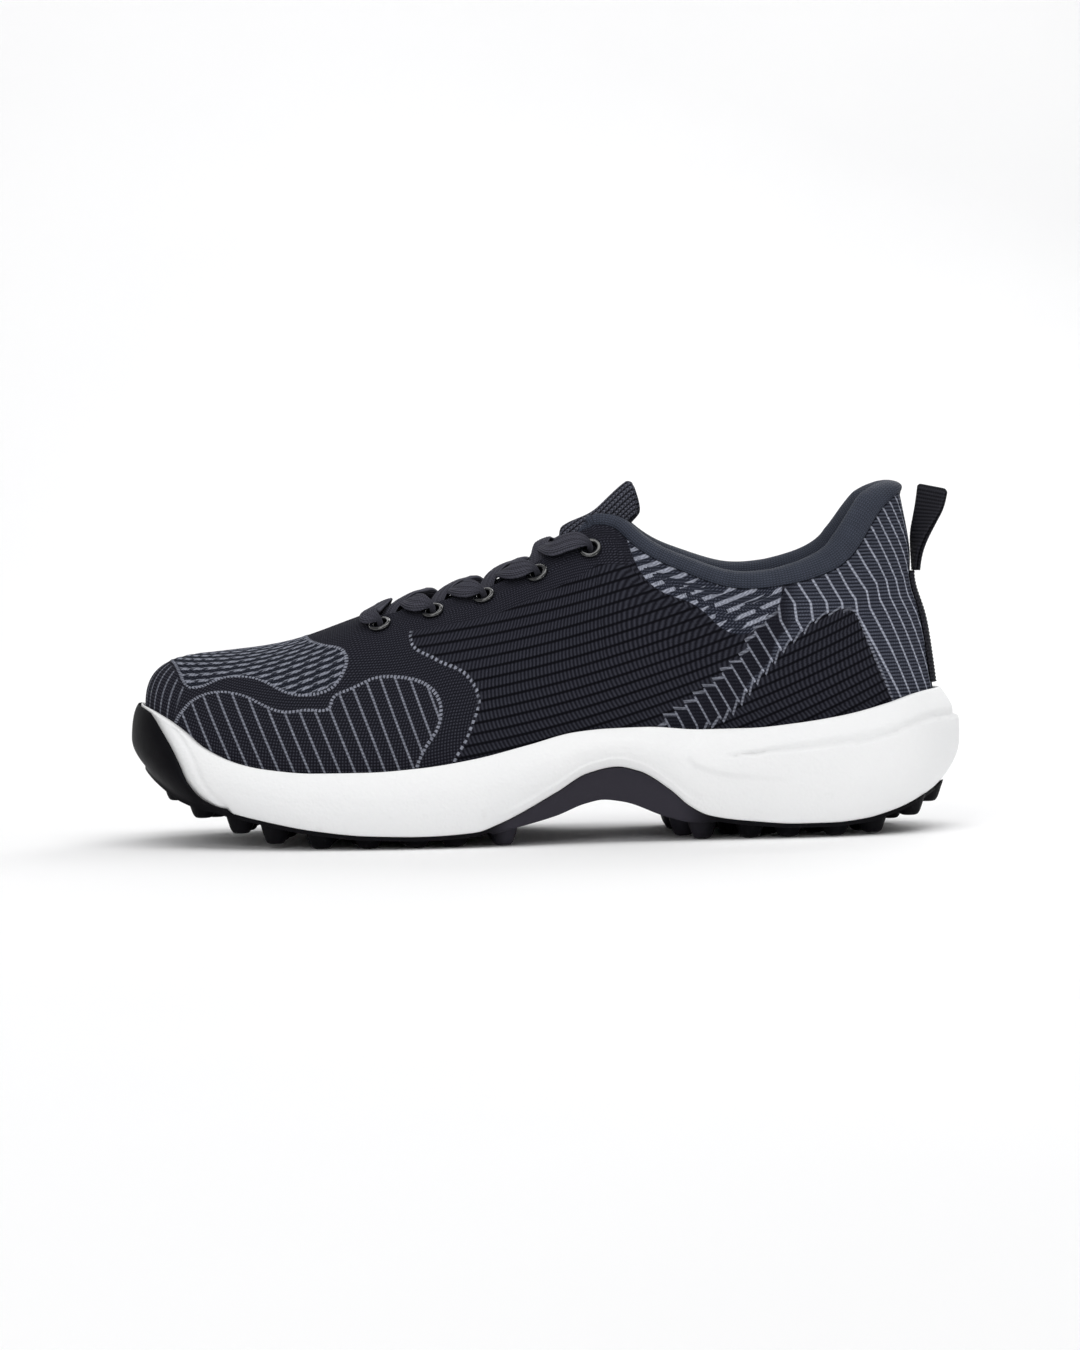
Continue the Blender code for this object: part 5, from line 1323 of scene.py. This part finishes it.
def eyelet(k, side):
    """A rolled metal ring: domed flange outside, barrel through the knit and a curled washer behind."""
    neck, back = EYELET_HOLE_R - GAP, -(KNIT + GAP + EYESTAY + 2 * GAP)
    middle, reach = (EYELET_FLANGE_R + EYELET_BORE_R) / 2, (EYELET_FLANGE_R - EYELET_BORE_R) / 2
    profile = [(EYELET_BORE_R, back - 0.4 * MM), (3.1 * MM, back - 0.5 * MM), (3.4 * MM, back - 0.3 * MM)]
    profile += [(3.3 * MM, back)]
    profile += [(neck, back), (neck, back * 0.5), (neck, 0.1 * MM), (EYELET_FLANGE_R - 0.3 * MM, 0.1 * MM)]
    for angle in np.linspace(-15, 180, 15):
        a = math.radians(angle)
        profile.append((middle + reach * math.cos(a), 0.45 * MM + 0.75 * MM * math.sin(a)))
    profile += [(EYELET_BORE_R, -0.5 * MM), (EYELET_BORE_R, back * 0.6)]
    sides = 48
    turn = full_turn(sides)
    radius, height = np.array(profile).T
    flat = [radius * np.cos(turn)[:, None], radius * np.sin(turn)[:, None]]
    rings = np.stack([*flat, np.tile(height, (sides, 1))], -1)
    place = np.array(eyelet_frame(k, side))
    rings = rings @ place[:3, :3].T + place[:3, 3]
    label = "lateral" if side > 0 else "medial"
    return rings_shape(f"eyelet_ring_{label}_{k + 1}", rings, wrap=True)


def webbing_strip(name, centre, wide, half_width, half_thickness):
    """A flat woven strip with cross ribs and rounded edges."""
    over = unit(np.cross(unit(np.gradient(centre, axis=0)), wide))
    way = walked(centre)
    flat = np.concatenate([np.linspace(-1, 1, 22), np.linspace(1, -1, 22)])
    side = np.repeat([1.0, -1.0], 22)
    rim = np.clip(1 - np.abs(flat) ** 14, 0, 1) ** 0.5
    rib = np.cos(2 * math.pi * way / WEBBING_PITCH)[:, None] - 0.3
    rib = 1 + 0.16 * rib * (1 - np.abs(flat)[None] ** 8)
    rings = centre[:, None] + wide[:, None] * flat[None, :, None] * half_width
    rings = rings + over[:, None] * ((side * rim)[None] * rib * half_thickness)[..., None]
    facts = {"way": spread_across(way, 44), "span": np.repeat((flat * half_width / MM)[None], len(way), 0)}
    return rings_shape(name, rings, facts)


STRIP_HALF_W = 0.015  # half-width of the heel strip, as a share of the way round
STRIP_HALF_WIDTH = 5.2  # the same in millimetres
STRIP_TOP = 92.9 * MM


def heel_strip():
    """The webbing sewn up the back seam, following the skin."""
    low, high = (float(share_at_height(np.array([1.0]), z)[0]) for z in (RIM(150 * MM) + 1.5 * MM, STRIP_TOP))
    t = np.linspace(low, high, 190)
    w = np.linspace(1 - STRIP_HALF_W, 1 + STRIP_HALF_W, 25)
    grid_t, grid_w = np.meshgrid(t, w, indexing="ij")
    way = walked(under_skin(np.full_like(t, 1.0), t, 0))
    rib = 0.14 * np.cos(2 * math.pi * way / WEBBING_PITCH)[:, None] * np.ones_like(grid_w)
    edge = np.clip(1 - np.abs((w - 1) / STRIP_HALF_W) ** 12, 0, 1) ** 0.5
    outer = under_skin(grid_w, grid_t, -(0.2 + (0.9 + rib) * edge[None]) * MM)
    inner = under_skin(grid_w, grid_t, -0.1 * MM + grid_w * 0)
    rings = np.concatenate([outer, inner[:, ::-1]], 1)
    spans = (np.concatenate([w, w[::-1]]) - 1) / STRIP_HALF_W * STRIP_HALF_WIDTH
    facts = {"way": spread_across(way, 50), "span": np.repeat(spans[None], len(t), 0)}
    return rings_shape("heel_tape", rings, facts)


LOOP_LOWER = 0.3 * MM  # the loop's stitched foot reaches down to the strip
LOOP_SLANT = -0.22  # its folded top falls away backwards
LOOP_PINCH = 0.71  # share of the gap between its legs that is left at the stitched foot


def pull_loop():
    """A strip of webbing folded over, twisted as it stands."""
    spline, _ = open_spline([[*(np.array(p) * MM), math.radians(a)] for p, a in zip(LOOP_PATH, LOOP_TWIST)])
    up = spline(np.linspace(0, 1, 110))
    up[:, 2] -= LOOP_LOWER * (1 - ease(up[:, 2], 93.3 * MM, 97 * MM))
    path, wide = [], []
    for leg, rows in ((-1, up), (1, up[::-1])):
        for row in rows:
            turn = row[3]
            spread = LOOP_PINCH + (1 - LOOP_PINCH) * np.clip((row[2] - 95 * MM) / (14 * MM), 0, 1)
            face = np.array([math.cos(turn), math.sin(turn), 0])
            path.append(row[:3] + face * leg * LOOP_GAP / 2 * spread)
            slant = LOOP_SLANT * float(ease(row[2], 108 * MM, 121 * MM))
            wide.append((-math.sin(turn), math.cos(turn), slant * -math.sin(turn)))
        if leg < 0:
            top = up[-1]
            face = np.array([math.cos(top[3]), math.sin(top[3]), 0])
            for angle in np.linspace(0, 180, 11)[1:-1]:
                swing = -math.cos(math.radians(angle)) * face * LOOP_GAP / 2
                path.append(top[:3] + swing + np.array([0, 0, math.sin(math.radians(angle)) * LOOP_GAP / 2]))
                wide.append((-math.sin(top[3]), math.cos(top[3]), LOOP_SLANT * -math.sin(top[3])))
    return webbing_strip("pull_tab", np.array(path), np.array(wide), WEBBING_WIDTH / 2, WEBBING / 2)


# ---- finishes
CLOTH = {"Specular_IOR_Level": 0.05}


def stitches(across, along_, width, length):
    """Knit loops: little V shapes in columns, 0 to 1."""
    column = across / width
    lean = ((column.fract() - 0.5).abs() * -2 + 1) * 0.5
    turn = (along_ / length + lean).fract()
    strand = (turn - 0.5).abs() * -2 + 1
    gap = (column.fract() - 0.5).abs().under(0.34, 0.5)
    return strand * gap


STITCH = 1.15  # millimetres between the knit's stitches
BEAD = 1.35  # and between the bright loops of its outlines
LIGHT_LOOP = 1.3  # and between the loops along its light rows


def knit_finish():
    """Black knit with light yarn drawn in lines, dashes and outlines by zone."""
    look = Look("black knit")
    zones = "toe toe_way side side_way vamp vamp_way quarter dash heel patch inside"
    phases = "rib stripe toe_row slant tip arc climb"
    v = {k: look.read(k) for k in (zones + " " + phases).split()}
    inside = {k: v[k].under(-0.35, 0.35) for k in ("toe", "side", "quarter", "dash", "heel", "patch")}
    x, _, z = look.place()
    grain = look.noise(0.9, 2)
    wander = look.noise(9.0, 2)
    columns = (v["arc"] / STITCH).wave()
    grid = columns * (v["climb"] / STITCH).wave()
    dots = (v["climb"] / LIGHT_LOOP).wave() * 0.6 + 0.4
    loops_along = (v["arc"] / LIGHT_LOOP).wave()

    ribs = (inside["quarter"] * (1 - inside["heel"]) * (1 - inside["dash"])).most(inside["patch"])
    heel = inside["heel"] * (1 - inside["patch"]) * (1 - inside["dash"])
    band = heel * v["heel"].over(-10.5, -9.0).most(z.under(46.0, 56.0)) * x.under(84.0, 92.0)

    row = (v["toe_row"] + grain * 0.12).line(0.2, 0.06)
    blocks = (v["arc"] / 4.9 + v["toe_row"].floor() * 0.37 + grain * 0.12).line(0.17, 0.05)
    toe_light = inside["toe"] * row * (1 - blocks * 0.9) * (loops_along * 0.4 + 0.6)
    stripe = inside["side"] * v["stripe"].line(0.075, 0.035) * dots
    tip_zone = v["arc"].under(26.0, 30.0) * (1 - inside["toe"]) * (1 - inside["side"])
    tip = tip_zone * v["toe"].over(1.2, 2.4) * v["tip"].line(0.1, 0.04) * dots
    ragged = grain * 0.7
    edges = []
    for key in ("toe", "side"):
        beads = (v[key + "_way"] / BEAD + ragged * 0.3).wave().over(0.1, 0.5)
        edges.append((v[key] + ragged - 0.3).abs().under(0.4, 0.75) * beads)
    edging = edges[0].most(edges[1])
    vamp = v["vamp"].abs().under(0.35, 0.75) * (v["vamp_way"] / 2.1).wave().over(0.3, 0.6)
    strokes = (v["arc"] / 9.0 + v["rib"].floor() * 0.47).line(0.34, 0.02)
    strokes = inside["dash"] * (v["rib"] + 0.5).line(0.21, 0.05) * strokes * (loops_along * 0.5 + 0.5)
    level = (z / BEAD).wave()
    slant = heel * v["slant"].line(0.075, 0.035) * (level * 0.5 + 0.5)
    step = (v["slant"].fract() - 0.5) * 2.6
    ladder = (v["heel"] + step).abs().under(0.3, 0.7) * x.under(80.0, 86.0)
    ladder = ladder.most((v["patch"] - step).abs().under(0.3, 0.7) * x.under(104.0, 112.0)) * dots
    ladder = ladder.most(v["patch"].abs().under(0.25, 0.6) * x.over(104.0, 112.0) * level)

    light = (toe_light * 0.62).most(stripe * 0.55).most(edging * 0.5).most(tip * 0.4).most(vamp * 0.6)
    light = light.most(strokes * 0.85).most(slant * (1 - band * 0.4)).most(ladder * 0.5)
    light = light * (grain * 0.5 + 0.75) * (1 - v["inside"])

    ground = look.blend(grid * 0.9 + grain * 0.1, srgb(15, 15, 22), srgb(66, 67, 77))
    loops = ((v["arc"] + v["rib"].fract() * 1.7) / 1.5).wave()
    ribbed = look.blend(loops * 0.8 + grain * 0.2, srgb(15, 15, 22), srgb(55, 56, 65))
    # Near-black lines along whole rib phases: painted shade standing for the grooves between the ribs.
    painted_groove_shade = v["rib"].line(0.13, 0.09)
    ribbed = look.blend(painted_groove_shade * 0.95, ribbed, srgb(4, 4, 8))
    rows = (z / 1.25).wave() * (columns * 0.4 + 0.6)
    heather = look.blend(rows, srgb(24, 26, 35), srgb(90, 94, 107))
    heather = look.blend(band * 0.85, heather, srgb(20, 20, 27))
    toe_ground = look.blend(grid, srgb(18, 21, 29), srgb(58, 62, 74))
    dark = look.blend(ribs, ground, ribbed)
    dark = look.blend(heel, dark, heather)
    dash_ground = look.blend(grid, srgb(30, 33, 42), srgb(84, 88, 102))
    dark = look.blend(inside["toe"], dark, toe_ground)
    dark = look.blend(inside["dash"], dark, dash_ground)
    dark = look.blend(wander * 0.12, dark, srgb(36, 36, 44))
    yarn = look.blend(grain, srgb(140, 144, 160), srgb(205, 209, 224))
    colour = look.blend(light, dark, yarn)

    height = grid * (1 - ribs) * 0.2 + ribs * loops * 0.2 + light * 0.25 + grain * 0.06
    look.bump(height * (1 - v["inside"] * 0.6), 0.9)
    return look.done(colour, 0.86, **CLOTH)


def jersey_finish(name, low, high):
    """Smooth fine-gauge lining cloth."""
    look = Look(name)
    loops = stitches(look.read("around"), look.read("over"), 1.05, 0.85)
    soft = look.noise(5.0, 3)
    colour = look.blend(soft, srgb(*low), srgb(*high))
    colour = look.blend(loops * 0.75, colour, srgb(*[c * 1.6 for c in high]))
    look.bump(loops * 0.2 + soft * 0.3, 0.9)
    return look.done(colour, 0.6, Specular_IOR_Level=0.15)


def mesh_finish():
    """Coarse braided mesh: plaited rows with small dark openings between them."""
    look = Look("tongue mesh")
    around, way = look.read("around"), look.read("over")
    row = around / 1.9
    side = row.fract()
    plait = ((way / 1.5) + (side - 0.5).abs() * 1.6).wave()
    seam = row.line(0.16, 0.1)
    grain = look.noise(0.7, 2)
    colour = look.blend(plait * 0.75 + grain * 0.25, srgb(26, 27, 34), srgb(104, 106, 118))
    colour = look.blend(seam * 0.85, colour, srgb(12, 12, 17))
    look.bump(plait * 0.3 - seam * 0.4 + grain * 0.08, 1.0)
    return look.done(colour, 0.85, **CLOTH)


def lace_finish(name, low, high):
    """Ribbed flat webbing woven in a fine herringbone, its ribs painted lighter on their crowns and darker
    between them as light and shade.
    """
    look = Look(name)
    way, span = look.read("way"), look.read("span")
    # Painted light and shade: lighter on each rib's crown and darker in the furrows between; the same ribs
    # also drive the bump.
    cord = (span / 0.69).ridge()
    weave = ((way / 0.9) + (span / 0.69).floor() * 0.5 + (span / 0.69).fract() * 0.5).fract()
    strand = (weave - 0.5).abs() * -2 + 1
    grain = look.noise(0.6, 2)
    colour = look.blend(strand * 0.25 + cord * 0.6 + grain * 0.15, srgb(*low), srgb(*high))
    look.bump(strand * 0.16 + cord * 0.2 + grain * 0.06, 0.9)
    return look.done(colour, 0.72, **CLOTH)


def webbing_finish():
    """Black woven webbing with cross ribs, painted lighter on their crests and darker between them as light
    and shade.
    """
    look = Look("black webbing")
    way, span = look.read("way"), look.read("span")
    yarn = ((span / 0.85) + (way / 1.35).floor() * 0.5).fract()
    yarn = (yarn - 0.5).abs() * -2 + 1
    grain = look.noise(0.5, 2)
    # Painted light and shade: each cross rib lighter on its crest and darker in the valley between ribs.
    painted_rib_light_and_shade = (way / 1.35).wave()
    colour = look.blend(painted_rib_light_and_shade * 0.6 + yarn * 0.4, srgb(15, 15, 19), srgb(52, 52, 58))
    look.bump(yarn * 0.16 + grain * 0.08, 0.9)
    return look.done(colour, 0.75, **CLOTH)


def foam_finish():
    """Moulded white foam, faintly pebbled and scuffed near the ground."""
    look = Look("white foam")
    lumps = look.cells(1.15)
    small = look.noise(0.8, 3)
    broad = look.noise(40.0, 2)
    z = look.place()[2]
    colour = look.blend(broad, srgb(240, 241, 242), srgb(246, 246, 246))
    scuff = look.noise(7.0, 4).over(0.62, 0.8) * z.under(8.0, 22.0)
    colour = look.blend(scuff * 0.3, colour, srgb(214, 213, 210))
    look.bump(lumps * 0.16 + small * 0.09, 0.55)
    return look.done(colour, 0.6, Specular_IOR_Level=0.25)


def rubber_finish():
    """Black rubber, paler on the arch bridge and worn at the studs' tips."""
    look = Look("black rubber")
    x, _, z = look.place()
    grain = look.noise(0.9, 4)
    broad = look.noise(16.0, 3)
    face = x.over(-22.0, -12.0) * x.under(46.0, 60.0)
    colour = look.blend(broad, srgb(8, 8, 11), srgb(17, 16, 20))
    colour = look.blend(face * 0.8, colour, srgb(58, 56, 64))
    worn = z.under(0.2, 1.6) * look.noise(2.0, 3).over(0.4, 0.75)
    colour = look.blend(worn * 0.5, colour, srgb(70, 69, 70))
    look.bump(grain * 0.1 + broad * 0.15, 0.6)
    return look.done(colour, look.noise(5.0, 2) * 0.15 + 0.46, Specular_IOR_Level=0.06)


def metal_finish():
    """Glossy black plated metal."""
    look = Look("black nickel")
    scratch = look.noise(0.35, 3)
    colour = look.blend(scratch, srgb(4, 4, 6), srgb(11, 12, 15))
    look.bump(scratch * 0.012, 0.5)
    coat = {"Specular_IOR_Level": 0.5, "Coat_Weight": 1.0, "Coat_Roughness": 0.03}
    return look.done(colour, scratch * 0.1 + 0.1, **coat)


def plastic_finish():
    """Dark aglet plastic."""
    look = Look("aglet plastic")
    scratch = look.noise(0.5, 3)
    look.bump(scratch * 0.03, 0.5)
    return look.done(look.blend(scratch, srgb(16, 16, 18), srgb(34, 34, 37)), scratch * 0.15 + 0.22)


def fibre_finish(name, low, high, size, height, roughness):
    """Pressed board, stiffener or tape: matted fibres in one direction."""
    look = Look(name)
    x, y, z = look.place()
    fibres = look.noise(size, 4, look.vector(x * 0.3, y, z))
    fleck = look.noise(size * 0.5, 3)
    colour = look.blend(fibres * 0.7 + fleck * 0.3, srgb(*low), srgb(*high))
    look.bump(fibres * height + fleck * height * 0.5, 0.8)
    return look.done(colour, roughness)


# ---- the whole shoe
def carried_over():
    """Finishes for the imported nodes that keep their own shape."""
    board = fibre_finish("strobel board cloth", (150, 146, 132), (190, 186, 172), 1.4, 0.1, 0.9)
    stiff = fibre_finish("stiffener sheet", (88, 84, 78), (124, 118, 108), 1.1, 0.07, 0.7)
    shank = fibre_finish("shank fibre", (18, 18, 19), (44, 43, 42), 0.8, 0.05, 0.45)
    tape = fibre_finish("black tape", (16, 16, 18), (38, 38, 42), 0.6, 0.05, 0.8)
    for names, material in (
        (("strobel_board",), board),
        (("heel_counter", "toe_puff"), stiff),
        (("shank_plate",), shank),
        (("eyestay_lateral", "eyestay_medial"), tape),
    ):
        for node in names:
            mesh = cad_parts[node].data
            mesh.materials.clear()
            mesh.materials.append(material)


def build():
    """Every piece, dressed and attached to its body, with the CAD nodes that it stands for hidden."""
    carried_over()
    dress(knit_upper(), knit_finish(), "knit", "shoe", "upper")
    jersey = jersey_finish("collar jersey", (28, 31, 39), (48, 52, 62))
    roll = dress(collar(), jersey, "lining", "shoe", "collar_lining", "collar_foam")
    layers = ("tongue_face", "tongue_foam", "tongue_lining")
    pad = dress(tongue(), mesh_finish(), "tongue_mesh", "tongue", *layers)
    jersey = jersey_finish("lining jersey", (27, 29, 36), (40, 43, 52))
    dress(quarter_lining(), jersey, "lining", "shoe", "quarter_lining")
    cloth = jersey_finish("insole cloth", (32, 35, 44), (48, 52, 62))
    insole = dress(sockliner(), cloth, "sockliner", "shoe", "sockliner")
    dress(midsole(), foam_finish(), "foam", "shoe", "midsole")
    dress(outsole(), rubber_finish(), "rubber", "shoe", "outsole")
    lacing = lace_finish("lace weave", (10, 10, 14), (92, 92, 103))
    dress(lace(), lacing, "lace", "shoe", "lace")
    plastic = plastic_finish()
    for piece, label in zip(aglets(), ("lateral", "medial")):
        dress(piece, plastic, "aglet", "shoe", f"aglet_{label}")
    metal = metal_finish()
    for side, label in ((1, "lateral"), (-1, "medial")):
        for k in range(len(EYELET_X)):
            dress(eyelet(k, side), metal, "eyelet_metal", "shoe", f"eyelet_{label}_{k + 1}")
    webbing = webbing_finish()
    dress(heel_strip(), webbing, "webbing", "shoe", "heel_strip")
    dress(pull_loop(), webbing, "webbing", "pull_loop", "pull_loop")


def area_light(name, place, aim, size, watts, colour=(1, 1, 1)):
    data = bpy.data.lights.new(name, "AREA")
    data.shape = "RECTANGLE"
    data.size, data.size_y = size
    data.energy, data.color = watts, colour
    lamp = placed(name, data)
    lamp.location = place
    lamp.rotation_euler = (Vector(aim) - Vector(place)).to_track_quat("-Z", "Y").to_euler()


def studio():
    """Pale floor that curves up into a backdrop, soft lights, and the camera."""
    profile = [(-3.0, 0.0), (1.2, 0.0)]
    profile += [(1.2 + 0.8 * math.sin(a), 0.8 - 0.8 * math.cos(a)) for a in np.linspace(0.1, math.pi / 2, 14)]
    profile += [(2.0, 3.0)]
    points = [(x, y, z - 0.0002) for y, z in profile for x in (-3.5, 3.5)]
    faces = [(2 * k, 2 * k + 1, 2 * k + 3, 2 * k + 2) for k in range(len(profile) - 1)]
    mesh = bpy.data.meshes.new("backdrop")
    mesh.from_pydata(points, [], faces)
    mesh.shade_smooth()
    backdrop = placed("backdrop", mesh)
    look = Look("paper")
    paper = look.blend(look.noise(300.0, 2), srgb(246, 246, 247), srgb(252, 252, 252))
    mesh.materials.append(look.done(paper, 0.9))
    world = bpy.data.worlds.new("studio")
    world.use_nodes = True
    sky = world.node_tree.nodes["Background"].inputs
    sky["Color"].default_value, sky["Strength"].default_value = (1, 1, 1, 1), 0.42
    bpy.context.scene.world = world
    area_light("top", (0.1, -0.35, 1.3), (0, 0, 0.05), (1.4, 0.9), 8.5)
    area_light("front", (-0.5, -1.5, 0.9), (0, 0, 0.05), (0.9, 0.7), 5.5)
    area_light("back", (0.7, 1.1, 1.0), (0.05, 0, 0.06), (0.8, 0.6), 6)
    area_light("wall", (0, 0.9, 1.5), (0, 2.0, 0.4), (2.4, 0.5), 11)
    area_light("glint", (0.75, -0.95, 0.12), (0, 0, 0.07), (0.26, 0.1), 0.8)

    data = bpy.data.cameras.new("camera")
    data.sensor_width = data.sensor_height = 36
    data.sensor_fit = "AUTO"
    data.lens = 110.35
    camera = placed("camera", data)
    aim, reach, rise = Vector((-0.0013, 0, 0.0577)), 1.5, math.radians(3)
    camera.location = aim + Vector((0, -reach * math.cos(rise), reach * math.sin(rise)))
    turn = (aim - camera.location).to_track_quat("-Z", "Y").to_matrix().to_4x4()
    roll = Matrix.Rotation(math.radians(-1.2), 4, "Z")
    camera.matrix_world = Matrix.Translation(camera.location) @ turn @ roll
    bpy.context.scene.camera = camera
    bpy.context.scene.view_settings.view_transform = "Standard"


build()
studio()
